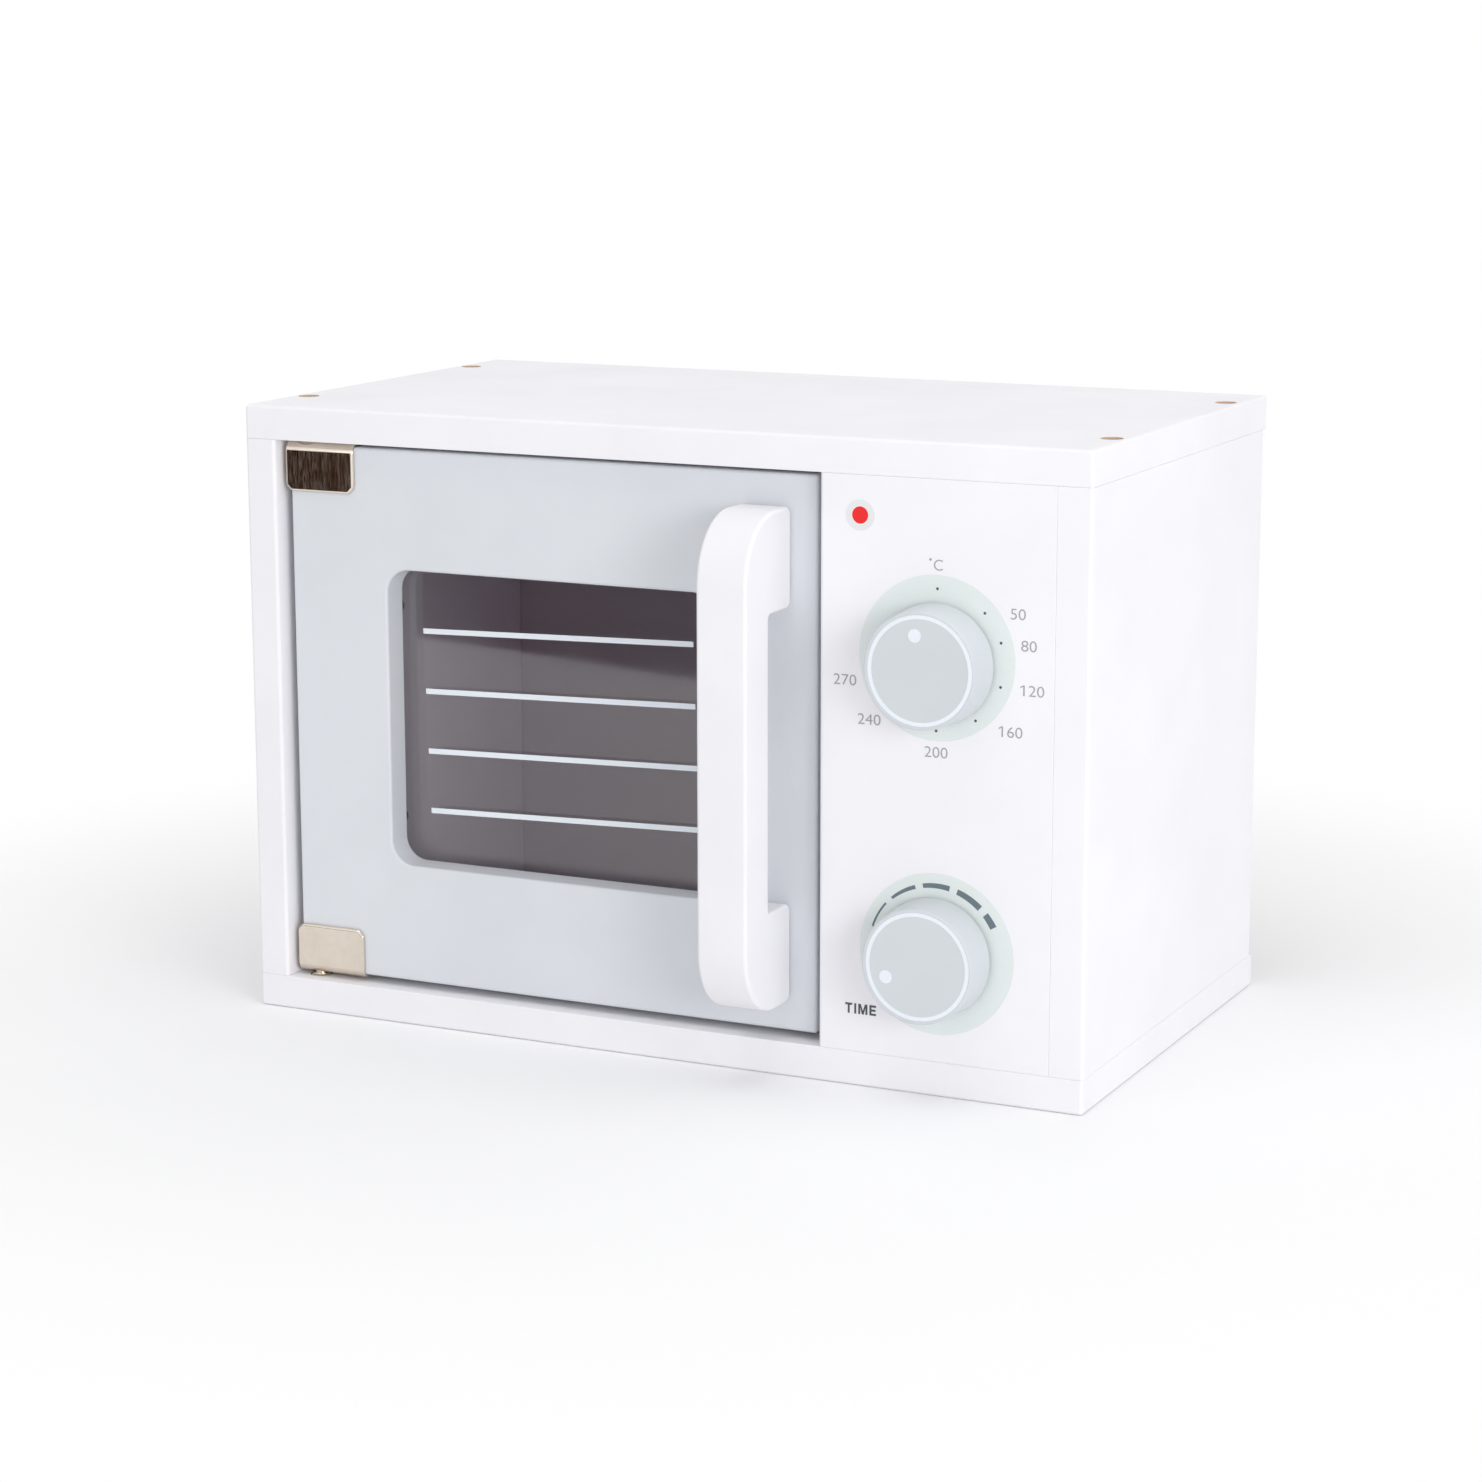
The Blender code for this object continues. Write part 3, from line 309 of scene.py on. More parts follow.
def acrylic_sheet(name, tint, smeared_tint, stopped):
    """A tinted clear sheet, almost mirror smooth, with the faintest smears."""
    material, tree, place = new_material(name)
    smears = add(tree, "ShaderNodeTexNoise", {
        "Vector": place, "Scale": 1 / SMEAR, "Detail": 3.0, "Distortion": 0.8})
    wiped = add(tree, "ShaderNodeMapRange", {"Value": smears.outputs["Fac"], **SPREAD})
    tone = add(tree, "ShaderNodeMix", {
        AMOUNT: wiped.outputs["Result"], FIRST: colour(tint), SECOND: colour(smeared_tint)},
        data_type="RGBA")
    haze = add(tree, "ShaderNodeMapRange", {
        "Value": smears.outputs["Fac"], **SPREAD, "To Min": 0.02, "To Max": 0.05})
    shader = add(tree, "ShaderNodeBsdfPrincipled", {
        "Base Color": tone.outputs[MIXED], "Alpha": stopped, "IOR": 2.25,
        "Specular IOR Level": 1.0, "Coat Weight": 1.0, "Coat IOR": 1.49,
        "Coat Roughness": 0.02, "Roughness": haze.outputs["Result"]})
    add(tree, "ShaderNodeOutputMaterial", {"Surface": shader.outputs["BSDF"]})
    return material


smoked_acrylic = acrylic_sheet("smoked acrylic", "54284E", "5A2D54", STOPPED)
print("light through the window:", round((1 - STOPPED) ** 2, 2))

# %% [markdown]
# ## Nylon, ferrite, beech and felt
# Behind the door and the control panel sit the plain workshop materials: a moulded nylon catch
# and bushes, the black magnet, beech dowels for the spindles and a felt ring under each knob.
# Nylon shows the fine grain of its mould, ferrite is pressed powder and felt is matted wool.
# Three recipes would do, but all are even speckles of one size or another, so they share one.
# Beech has its own, because wood has a direction: rings, and short flecks along them.

# %% Moulded nylon, sintered ferrite and felt
GRAIN_OF_MOULD = 0.8 * MM
FERRITE_GRAIN = 0.4 * MM


def speckled(name, light, dark, grain, height, roughness):
    """A solid with an even, fine-grained skin."""
    material, tree, place = new_material(name)
    grains = add(tree, "ShaderNodeTexNoise", {
        "Vector": place, "Scale": 1 / grain, "Detail": 2.0})
    speck = add(tree, "ShaderNodeMapRange", {"Value": grains.outputs["Fac"], **SPREAD})
    tone = add(tree, "ShaderNodeMix", {
        AMOUNT: speck.outputs["Result"], FIRST: colour(light), SECOND: colour(dark)},
        data_type="RGBA")
    skin = add(tree, "ShaderNodeBump", {
        "Height": grains.outputs["Fac"], "Strength": 0.3, "Distance": height})
    shader = add(tree, "ShaderNodeBsdfPrincipled", {
        "Base Color": tone.outputs[MIXED], "Roughness": roughness,
        "Normal": skin.outputs["Normal"]})
    add(tree, "ShaderNodeOutputMaterial", {"Surface": shader.outputs["BSDF"]})
    return material


moulded_nylon = speckled("moulded nylon", "F0EFEA", "EAE9E3", GRAIN_OF_MOULD, 0.02 * MM, 0.45)
sintered_ferrite = speckled("sintered ferrite", "353332", "272524", FERRITE_GRAIN,
                            0.02 * MM, 0.6)
wool_felt = speckled("wool felt", "B4B8BA", "969B9D", FIBRE, 0.2 * MM, 0.95)
print("speckled:", [m.name for m in (moulded_nylon, sintered_ferrite, wool_felt)])

# %% Beech dowel
RAY = 1.2 * MM             # across the small dark flecks that mark beech
RING = 2.5 * MM            # between two growth rings
BANDS_IN_A_WAVE = 20       # a Wave node draws this many bands where its scale is 1


def beech():
    """Turned beech: rings along the dowel and short dark flecks between them."""
    material, tree, place = new_material("beech")
    rings = add(tree, "ShaderNodeTexWave", {
        "Vector": place, "Scale": 1 / RING / BANDS_IN_A_WAVE, "Distortion": 2.0,
        "Detail": 2.0}, wave_type="BANDS", bands_direction="X")
    along = add(tree, "ShaderNodeMapping", {"Vector": place, "Scale": (1.0, 0.15, 1.0)})
    flecks = add(tree, "ShaderNodeTexNoise", {
        "Vector": along.outputs["Vector"], "Scale": 1 / RAY, "Detail": 3.0})
    ringed = add(tree, "ShaderNodeMix", {
        AMOUNT: rings.outputs["Fac"], FIRST: colour("D6B68C"), SECOND: colour("C49F72")},
        data_type="RGBA")
    faint = add(tree, "ShaderNodeMapRange", {
        "Value": flecks.outputs["Fac"], **SPREAD, "To Max": 0.35})
    tone = add(tree, "ShaderNodeMix", {
        AMOUNT: faint.outputs["Result"], FIRST: ringed.outputs[MIXED],
        SECOND: colour("9C7748")}, data_type="RGBA")
    shader = add(tree, "ShaderNodeBsdfPrincipled", {
        "Base Color": tone.outputs[MIXED], "Roughness": 0.6})
    add(tree, "ShaderNodeOutputMaterial", {"Surface": shader.outputs["BSDF"]})
    return material


beech_wood = beech()
print("beech rings:", RING / MM, "mm apart")

# %% [markdown]
# ## Printing ink
# The scales are screen printed: a stiff ink pressed through a mesh, which lies on the lacquer as
# a film a few hundredths of a millimetre thick. It is matt, and slightly uneven where the mesh
# laid less of it. A print could be a picture in the lacquer's own material. As a thin piece with
# an ink of its own it keeps its crisp edge, however near the eye comes.

# %% Screen printing ink
MESH_PITCH = 0.6 * MM      # the real mesh has 0.1 mm threads, drawn coarser to show


def ink(name, full, thin, roughness=0.55):
    """Screen printed ink: its full colour and the tone where the film is thin."""
    material, tree, place = new_material(name)
    film = add(tree, "ShaderNodeTexNoise", {
        "Vector": place, "Scale": 1 / MESH_PITCH, "Detail": 2.0})
    worn = add(tree, "ShaderNodeMapRange", {"Value": film.outputs["Fac"], **SPREAD})
    tone = add(tree, "ShaderNodeMix", {
        AMOUNT: worn.outputs["Result"], FIRST: colour(full), SECOND: colour(thin)},
        data_type="RGBA")
    shader = add(tree, "ShaderNodeBsdfPrincipled", {
        "Base Color": tone.outputs[MIXED], "Roughness": roughness})
    add(tree, "ShaderNodeOutputMaterial", {"Surface": shader.outputs["BSDF"]})
    return material


dial_ink = ink("ink, dial grey green", "E2E8E7", "DEE5E4")
scale_ink = ink("ink, scale grey", "9A9B9E", "A4A5A8")
dot_ink = ink("ink, dot grey", "45484A", "505355")
slate_ink = ink("ink, slate", "61727A", "69797F")
white_ink = ink("ink, white", "E9EEF5", "E5EAF1")
line_ink = ink("ink, window lines", "EAF0F6", "E4EAF1")
red_ink = ink("ink, red", "EC0E0C", "E61612", 0.35)
ring_ink = ink("ink, lamp ring", "E3E6E5", "DFE2E2")
print("screen mesh drawn", MESH_PITCH / MM, "mm wide")

# %% [markdown]
# ## Building blocks for the pieces
# Every piece starts from how its maker would work: saw a board, turn a knob, cut a sheet to an
# outline, drill a hole. The shapes could be pulled into place by hand, but helpers keep every
# size under its name. A piece keeps its place in its mesh and its object at the origin, as the
# CAD nodes do, so that a pattern in object space runs on from one board to the next.

# %% A piece, put on its body
SHARP = math.radians(34)   # an edge that turns more than this stays crisp


def put(name, mesh, body, slot, finishes, *nodes):
    """A finished piece on its body, standing for the CAD nodes that it replaces."""
    piece = bpy.data.objects.new(name, mesh)
    bpy.context.scene.collection.objects.link(piece)
    if finishes:
        mesh.materials.clear()
        for finish in finishes:
            mesh.materials.append(finish)
    mesh.shade_smooth()
    mesh.set_sharp_from_angle(angle=SHARP)
    weighted = piece.modifiers.new("even shading", "WEIGHTED_NORMAL")
    weighted.keep_sharp = True
    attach(piece, body)
    if nodes:
        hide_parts(*nodes)
    return piece


print("edges stay crisp over", round(math.degrees(SHARP)), "degrees")

# %% A draft, and its mesh when the work on it is done
TINY = 0.001 * MM          # points nearer than this are one


def settle(blank):
    """The mesh of a draft object with its modifiers applied; the draft goes."""
    bpy.context.view_layer.update()
    evaluated = blank.evaluated_get(bpy.context.evaluated_depsgraph_get())
    mesh = bpy.data.meshes.new_from_object(evaluated)
    bpy.data.objects.remove(blank)
    form = bmesh.new()
    form.from_mesh(mesh)
    bmesh.ops.remove_doubles(form, verts=form.verts, dist=TINY)
    bmesh.ops.recalc_face_normals(form, faces=form.faces)
    form.to_mesh(mesh)
    form.free()
    return mesh


def draft(mesh, finish=None):
    """A draft object for a mesh, to carry modifiers until it is settled."""
    if finish:
        mesh.materials.append(finish)
    made = bpy.data.objects.new("draft", mesh)
    bpy.context.scene.collection.objects.link(made)
    return made


print("points nearer than", TINY / MM, "mm become one")

# %% Saw a board, and ease its edges
EASE_OVER = math.radians(40)    # an edge that turns less than this is left as it is
EDGE_STEPS = 5                  # across an eased edge


def block(low, high):
    """A block between two corners, as a mesh."""
    form = bmesh.new()
    size = Matrix.Diagonal((*(high - low), 1.0))
    bmesh.ops.create_cube(form, size=1.0, matrix=Matrix.Translation((low + high) / 2) @ size)
    mesh = bpy.data.meshes.new("block")
    form.to_mesh(mesh)
    form.free()
    return mesh


def ease(blank, radius, steps=EDGE_STEPS):
    """Rounds every crisp edge, as sandpaper and paint do."""
    sanding = blank.modifiers.new("eased edges", "BEVEL")
    sanding.width = radius
    sanding.segments = steps
    sanding.limit_method = "ANGLE"
    sanding.angle_limit = EASE_OVER


def cut(blank, tool_mesh, finish):
    """Cuts a tool's shape out of a draft; the cut faces take a finish of their own."""
    tool = draft(tool_mesh, finish)
    tool.hide_render = True
    saw = blank.modifiers.new("cut", "BOOLEAN")
    saw.object = tool
    saw.material_mode = "TRANSFER"
    return tool


def finished(blank, tools):
    """The draft's mesh with every cut made; the tools go back on the shelf."""
    mesh = settle(blank)
    for tool in tools:
        bpy.data.objects.remove(tool)
    return mesh


print("a block has", len(block(Vector((0, 0, 0)), Vector((1, 1, 1))).polygons), "faces")

# %% Turn a profile on the lathe
TURN_STEPS = 128           # round one turn
SMALL_STEPS = 32           # for screws, pins and other small round work


def turned(profile, place, direction, steps=TURN_STEPS):
    """A mesh turned from (radius, height) points, its height running along a direction."""
    form = bmesh.new()
    rings = []
    for radius, height in profile:
        around = 1 if radius == 0 else steps
        rings.append([form.verts.new((radius * math.cos(2 * math.pi * i / steps),
                                      radius * math.sin(2 * math.pi * i / steps), height))
                      for i in range(around)])
    for above, below in zip(rings, rings[1:]):
        for i in range(steps):
            corners = [above[i % len(above)], above[(i + 1) % len(above)],
                       below[(i + 1) % len(below)], below[i % len(below)]]
            form.faces.new(list(dict.fromkeys(corners)))
    bmesh.ops.remove_doubles(form, verts=form.verts, dist=TINY)
    bmesh.ops.recalc_face_normals(form, faces=form.faces)
    mesh = bpy.data.meshes.new("turned")
    form.to_mesh(mesh)
    form.free()
    mesh.transform(Matrix.Translation(place) @ direction.to_track_quat("Z", "Y").to_matrix()
                   .to_4x4())
    return mesh


def arc(centre, radius, start, end, steps):
    """Points on an arc, angles in degrees."""
    turns = [math.radians(start + (end - start) * i / steps) for i in range(steps + 1)]
    return [(centre[0] + radius * math.cos(t), centre[1] + radius * math.sin(t))
            for t in turns]


print("a quarter turn in three steps:",
      [(round(x, 2), round(y, 2)) for x, y in arc((0, 0), 1, 90, 0, 3)])

# %% Round the corners of an outline
CORNER_STEPS = 20          # round one corner of an outline


def rounded(corners, steps=CORNER_STEPS):
    """The outline of (x, y, radius) corners, each corner rounded."""
    points = []
    for i, (x, y, radius) in enumerate(corners):
        corner = Vector((x, y))
        back = (Vector(corners[i - 1][:2]) - corner).normalized()
        ahead = (Vector(corners[(i + 1) % len(corners)][:2]) - corner).normalized()
        half = back.angle(ahead) / 2
        centre = corner + (back + ahead).normalized() * (radius / math.sin(half))
        start = corner + back * (radius / math.tan(half)) - centre
        sweep = start.angle_signed(corner + ahead * (radius / math.tan(half)) - centre)
        for step in range(steps + 1):
            arm = start.copy()
            arm.rotate(Matrix.Rotation(-sweep * step / steps, 2))
            points.append(centre + arm)
    return points


def rectangle(width, height, radius):
    """A rectangle's outline about the origin, with rounded corners."""
    x, y = width / 2, height / 2
    return rounded([(-x, -y, radius), (x, -y, radius), (x, y, radius), (-x, y, radius)])


print("a rounded rectangle has", len(rectangle(2, 1, 0.1)), "points")

# %% Cut a sheet to an outline
FACING = Matrix.Rotation(math.pi / 2, 4, "X")  # turns a sheet to face the front


def sheet(outline, thickness, edge=0.0, steps=EDGE_STEPS):
    """A sheet in the XY plane, cut to an outline, its edges eased by a radius."""
    curve = bpy.data.curves.new("sheet", "CURVE")
    curve.dimensions = "2D"
    curve.fill_mode = "BOTH"
    curve.extrude = thickness / 2 - edge
    curve.bevel_depth = edge
    curve.bevel_resolution = steps - 1
    curve.offset = -edge
    spline = curve.splines.new("POLY")
    spline.points.add(len(outline) - 1)
    for point, (x, y) in zip(spline.points, outline):
        point.co = (x, y, 0.0, 1.0)
    spline.use_cyclic_u = True
    drawn = bpy.data.objects.new("sheet", curve)
    bpy.context.scene.collection.objects.link(drawn)
    return settle(drawn)


def stood(mesh, place):
    """The sheet stood up to face the front, its middle at a place."""
    mesh.transform(Matrix.Translation(place) @ FACING)
    return mesh


print("a sheet stands up by a turn of", round(math.degrees(FACING.to_euler().x)), "degrees")

# %% [markdown]
# ## The cabinet's boards
# Six boards make the box, all 11.2 mm thick, butted and screwed. Their free edges are sanded to
# a radius of 1.2 mm before they are sprayed, and that small round edge is what catches the light
# along every corner. One box with grooves for the joints would do from the front. Separate
# boards are right from every side, inside too. Where a face butts against another board its
# edges are left almost crisp, and it is seated nearer to its neighbour than the CAD solids are,
# which keep a small gap that would show as a dark line: a real joint is only a hairline. The top
# lies over the sides and has four sunk screw holes, drilled after the paint, so their walls show
# the brown board. Two more holes, inside, hold the hinge's bushes.

# %% Sanding a board
BOARD_EDGE = 1.2 * MM
JOINT_EDGE = 0.24 * MM


def at_joint(ends, low, high, butted):
    """Whether an edge lies in one of the faces that butt against another board."""
    for way in butted:
        face = high if sum(way) > 0 else low
        if all(abs((end - face) @ way) < TINY for end in ends):
            return True
    return False


def sand(blank, low, high, butted):
    """Rounds every edge of a board, and less round the faces that butt against a board."""
    mesh = blank.data
    share = mesh.attributes.new("bevel_weight_edge", "FLOAT", "EDGE")
    for edge in mesh.edges:
        ends = [mesh.vertices[number].co for number in edge.vertices]
        crisp = at_joint(ends, low, high, butted)
        share.data[edge.index].value = JOINT_EDGE / BOARD_EDGE if crisp else 1.0
    sanding = blank.modifiers.new("eased edges", "BEVEL")
    sanding.width = BOARD_EDGE
    sanding.segments = EDGE_STEPS
    sanding.limit_method = "WEIGHT"


print("free edges", BOARD_EDGE / MM, "mm, joint edges", JOINT_EDGE / MM, "mm")

# %% A board and its holes
SEATED = 0.14 * MM         # a butted face comes this much nearer to its neighbour
HOLE_STEPS = 48
HOLE_OVERRUN = 1.0 * MM    # how far a drill starts above the board


def board(node, butted, holes=()):
    """One lacquered board in place of its CAD node; a hole is (x, y, way out, size)."""
    low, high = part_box(node)
    for way in butted:
        if sum(way) > 0:
            high += SEATED * way
        else:
            low += SEATED * way
    blank = draft(block(low, high), white_lacquer)
    sand(blank, low, high, butted)
    tools = []
    for x, y, outward, (radius, depth) in holes:
        mouth = at(x, y, 0)
        mouth.z = high.z if outward.z > 0 else low.z
        profile = [(0, HOLE_OVERRUN), (radius, HOLE_OVERRUN), (radius, -depth), (0, -depth)]
        tools.append(cut(blank, turned(profile, mouth, outward, HOLE_STEPS), raw_fibreboard))
    piece = put(f"{node}_board", finished(blank, tools), "cabinet", "white_paint", (), node)
    print(node, "has", len(holes), "holes and", len(piece.data.polygons), "faces")


print("a butted face is seated", SEATED / MM, "mm nearer")

# %% The six boards
SCREW_HOLE = (3.6 * MM, 4.5 * MM)     # radius and depth
BUSH_HOLE = (3.8 * MM, 8.3 * MM)
LEFT_COLUMN = 5.6                     # millimetres from the cabinet's left
DIVIDER_COLUMN = 216.0
RIGHT_COLUMN = 294.4
SCREW_ROWS = (31.0, 142.0)            # and from its front
HINGE_AXIS = (19.6, 7.8)              # from its left and from its front
ENDS = (UPWARD, -UPWARD)


def screw_holes(columns, outward):
    """One sunk hole where each column of screws meets each row."""
    return [(x, y, outward, SCREW_HOLE) for x in columns for y in SCREW_ROWS]


board("top_panel", (-UPWARD,),
      screw_holes((LEFT_COLUMN, RIGHT_COLUMN), UPWARD) + [(*HINGE_AXIS, -UPWARD, BUSH_HOLE)])
board("bottom_panel", (UPWARD,),
      screw_holes((LEFT_COLUMN, DIVIDER_COLUMN, RIGHT_COLUMN), -UPWARD)
      + [(*HINGE_AXIS, UPWARD, BUSH_HOLE)])
board("left_side_panel", ENDS)
board("right_side_panel", (*ENDS, LEFTWARD))
board("control_panel", (*ENDS, -LEFTWARD))
board("divider_panel", (*ENDS, FRONTWARD))
print("the hinge's axis is", HINGE_AXIS, "mm from the cabinet's left and from its front")

# %% [markdown]
# ## The door
# The door is a board of 12 mm with a window sawn out, its corners rounded with an 8 mm cutter.
# The window's edge is eased like the door's own. Behind, a shallow rebate takes the acrylic. The
# board could be built as a frame of faces. Cutting the window out with a second mesh is closer to
# the saw, and the easing that follows rounds the old edges and the new ones alike.

# %% Door panel
DOOR_EDGE = 1.0 * MM
DOOR_LOW, DOOR_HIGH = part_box("door_panel")
DOOR_MIDDLE = (DOOR_LOW + DOOR_HIGH) / 2
WINDOW = (120.4 * MM, 100.2 * MM)
WINDOW_RADIUS = 8.0 * MM
REBATE = 6.0 * MM          # how far the rebate is wider than the window, on each side
REBATE_DEPTH = 2.3 * MM
CUT_THROUGH = 20.0 * MM    # long enough for a cut to come out on the other side


def door_panel():
    """The door's board with its window and rebate."""
    blank = draft(block(DOOR_LOW, DOOR_HIGH), door_lacquer)
    opening = stood(sheet(rectangle(*WINDOW, WINDOW_RADIUS), CUT_THROUGH), DOOR_MIDDLE)
    tools = [cut(blank, opening, door_lacquer)]
    ease(blank, DOOR_EDGE)
    wide, tall = (side + 2 * REBATE for side in WINDOW)
    place = DOOR_MIDDLE.copy()
    place.y = DOOR_HIGH.y - REBATE_DEPTH + CUT_THROUGH / 2
    rebate = stood(sheet(rectangle(wide, tall, WINDOW_RADIUS), CUT_THROUGH), place)
    tools.append(cut(blank, rebate, door_lacquer))
    return put("door_board", finished(blank, tools), "door", "door_paint", (), "door_panel")


print("door board:", len(door_panel().data.polygons), "faces")

# %% [markdown]
# ## The window
# The pane is cut from the sheet with a laser, which leaves its edge crisp. Four pale lines are
# printed on its front, like the bars of a grill. They could be rods behind the pane, but the
# real ones are flat and don't shift against it as the eye moves, so they are films of ink. The
# print sits a little askew in the window, which happens when a sheet slips in the press.

# %% Pane and its printed lines
PANE_LOW, PANE_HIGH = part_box("window_pane")
PANE_LOW.y -= 2 * SEATED    # the sheet lies on the floor of its rebate
PANE_SIZE = PANE_HIGH - PANE_LOW
PANE_CORNER = 7.7 * MM
FILM = 0.08 * MM           # thickness of a printed film, with a little sunk in its ground
SUNK = 0.02 * MM
LINES = 4
LINE_LENGTH = 100.6 * MM
LINE_WIDTH = 1.8 * MM
LINE_CORNER = 0.15 * MM
LINE_SPACING = 20.4 * MM
LINE_MIDDLE = (109.8, 103.3)
SKEW = math.radians(1.7)

pane_mesh = stood(sheet(rectangle(PANE_SIZE.x, PANE_SIZE.z, PANE_CORNER), PANE_SIZE.y),
                  (PANE_LOW + PANE_HIGH) / 2)
put("window_sheet", pane_mesh, "door", "smoked_acrylic", [smoked_acrylic], "window_pane")


def printed(name, mesh, x, y, z, body, slot, finish):
    """A printed film that faces the front, on the ground at y."""
    stood(mesh, at(x, y, z) + FRONTWARD * (FILM / 2 - SUNK))
    return put(name, mesh, body, slot, [finish])


PANE_FRONT = in_mm(PANE_LOW)[1]
for number in range(LINES):
    film = sheet(rectangle(LINE_LENGTH, LINE_WIDTH, LINE_CORNER), FILM)
    film.transform(Matrix.Translation((0, (number - (LINES - 1) / 2) * LINE_SPACING, 0)))
    film.transform(Matrix.Rotation(SKEW, 4, "Z"))
    printed(f"window_line_{number + 1}", film, LINE_MIDDLE[0], PANE_FRONT, LINE_MIDDLE[1],
            "door", "smoked_acrylic", line_ink)
print("pane:", [round(side / MM, 1) for side in PANE_SIZE], "mm, with", LINES, "lines")

# %% [markdown]
# ## The handle
# The handle is sawn from a solid stick in one C shape, its two front corners rounded wide and
# every edge run round with a small cutter, so that no edge hurts a child's hand. A bevelled box
# has no hollow for the fingers. A flat outline, drawn out sideways with a rounded edge, gives the
# whole grip at once, each corner with the radius of its own that the real one has.

# %% Handle
HANDLE_LOW, HANDLE_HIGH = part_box("door_handle")
HANDLE_SIZE = HANDLE_HIGH - HANDLE_LOW
FOOT_HEIGHT = 32.3 * MM
GRIP = 16.8 * MM
OUTER_RADIUS = 22.0 * MM
INNER_RADIUS = 1.8 * MM
FOOT_RADIUS = 2.8 * MM
HANDLE_EDGE = 1.2 * MM
HANDLE_STEPS = 24
HANDLE_EDGE_STEPS = 8
SIDEWAYS = Matrix.Rotation(math.pi / 2, 4, "Z") @ FACING  # turns a sheet to face right


def handle():
    """The C-shaped grip, cut to its outline as seen from the side."""
    half = HANDLE_SIZE.z / 2
    inner = half - FOOT_HEIGHT
    front, back = -HANDLE_SIZE.y / 2, HANDLE_SIZE.y / 2
    reach = front + GRIP
    outline = rounded([
        (back, half, FOOT_RADIUS), (front, half, OUTER_RADIUS),
        (front, -half, OUTER_RADIUS), (back, -half, FOOT_RADIUS),
        (back, -inner, FOOT_RADIUS), (reach, -inner, INNER_RADIUS),
        (reach, inner, INNER_RADIUS), (back, inner, FOOT_RADIUS)], HANDLE_STEPS)
    mesh = sheet(outline, HANDLE_SIZE.x, HANDLE_EDGE, HANDLE_EDGE_STEPS)
    mesh.transform(Matrix.Translation((HANDLE_LOW + HANDLE_HIGH) / 2) @ SIDEWAYS)
    return put("handle_grip", mesh, "door", "handle_paint", [handle_lacquer_with_painted_shade], "door_handle")


print("handle:", [round(side / MM, 1) for side in HANDLE_SIZE], "mm,",
      len(handle().data.polygons), "faces")

# %% [markdown]
# ## The pivot clips
# Each clip is a strip of 1 mm steel, folded into a pocket that grips the door's corner, with its
# free corners nipped off. A pin through the fold turns in the cabinet's board. The folds are
# round, and mirror the bright room above in a band of light. A flat strip could be bent by a
# modifier, but then one number sets both radii. Here a folded block is hollowed with a smaller
# one: a fold thins the sheet a little, so its inside is tighter than its outside less the sheet.

# %% A folded block
SHEET = 1.0 * MM
FOLD = 3.5 * MM            # outside radius of a fold
INNER_FOLD = 1.8 * MM
FOLD_STEPS = 14


def folded(low, high, radius, inward):
    """A block with its two long edges at the door's end folded round."""
    mesh = block(low, high)
    web = low.z if inward > 0 else high.z
    form = bmesh.new()
    form.from_mesh(mesh)
    edges = [edge for edge in form.edges
             if all(abs(vert.co.z - web) < TINY for vert in edge.verts)
             and abs(edge.verts[0].co.y - edge.verts[1].co.y) < TINY]
    bmesh.ops.bevel(form, geom=edges, offset=radius, segments=FOLD_STEPS, profile=0.5,
                    affect="EDGES")
    form.to_mesh(mesh)
    form.free()
    return mesh


root_two = math.sqrt(2)
print("the sheet is thinned in a fold to",
      round((SHEET * root_two - (FOLD - INNER_FOLD) * (root_two - 1)) / MM, 2), "mm")

# %% Pivot clips
NIPPED = 2.0 * MM          # across the cut at a nipped corner
CLIP_EDGE = 0.85 * MM      # the punch rolls the outer edges round
CLIP_EDGE_STEPS = 3


def pivot_clip(node, inward):
    """A folded clip; inward is 1 where it opens upward and -1 where it opens downward."""
    low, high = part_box(node)
    blank = draft(folded(low, high, FOLD, inward), nickel_plate)
    web, free = (low.z, high.z) if inward > 0 else (high.z, low.z)
    half = NIPPED / root_two
    tools = []
    for x in (low.x, high.x):
        nip = block(Vector((-half, -CUT_THROUGH, -half)), Vector((half, CUT_THROUGH, half)))
        nip.transform(Matrix.Translation((x, middle(node).y, free))
                      @ Matrix.Rotation(math.radians(45), 4, "Y"))
        tools.append(cut(blank, nip, nickel_plate))
    ease(blank, CLIP_EDGE, CLIP_EDGE_STEPS)
    near, far = web + inward * SHEET, free + inward * CUT_THROUGH
    room = folded(Vector((low.x + SHEET, low.y + SHEET, min(near, far))),
                  Vector((high.x + CUT_THROUGH, high.y - SHEET, max(near, far))),
                  INNER_FOLD, inward)
    tools.append(cut(blank, room, nickel_plate))
    return put(node + "_folded", finished(blank, tools), "door", "nickel", (), node)


for node, inward in (("lower_hinge_clip", 1), ("upper_hinge_clip", -1)):
    print(node, len(pivot_clip(node, inward).data.polygons), "faces")

# %% [markdown]
# ## The knobs
# Both knobs are turned from wood and sprayed grey. The side tapers a little towards the face and
# the rim is only just rounded. A cylinder with a bevel has no taper and no bore. A profile turned
# on the lathe has both, and is how the real one is made. A white ring and a dot are printed on
# each face. They turn with the knob, and the dot is the pointer. The ring's print missed the
# middle by a hair.

# %% Printed discs and rings
RING_OUTER = 17.2
RING_WIDTH = 1.2
RING_OFF = (0.3, 0.15)     # how far the ring's print is off the knob's middle
POINTER_RADIUS = 2.1
POINTER_REACH = 11.0


def disc(outer, inner=0.0):
    """The profile of a printed disc or ring, in millimetres, for the lathe."""
    top, bottom = FILM / 2, -FILM / 2
    if inner:
        return [(outer * MM, top), (outer * MM, bottom), (inner * MM, bottom),
                (inner * MM, top), (outer * MM, top)]
    return [(0, top), (outer * MM, top), (outer * MM, bottom), (0, bottom)]


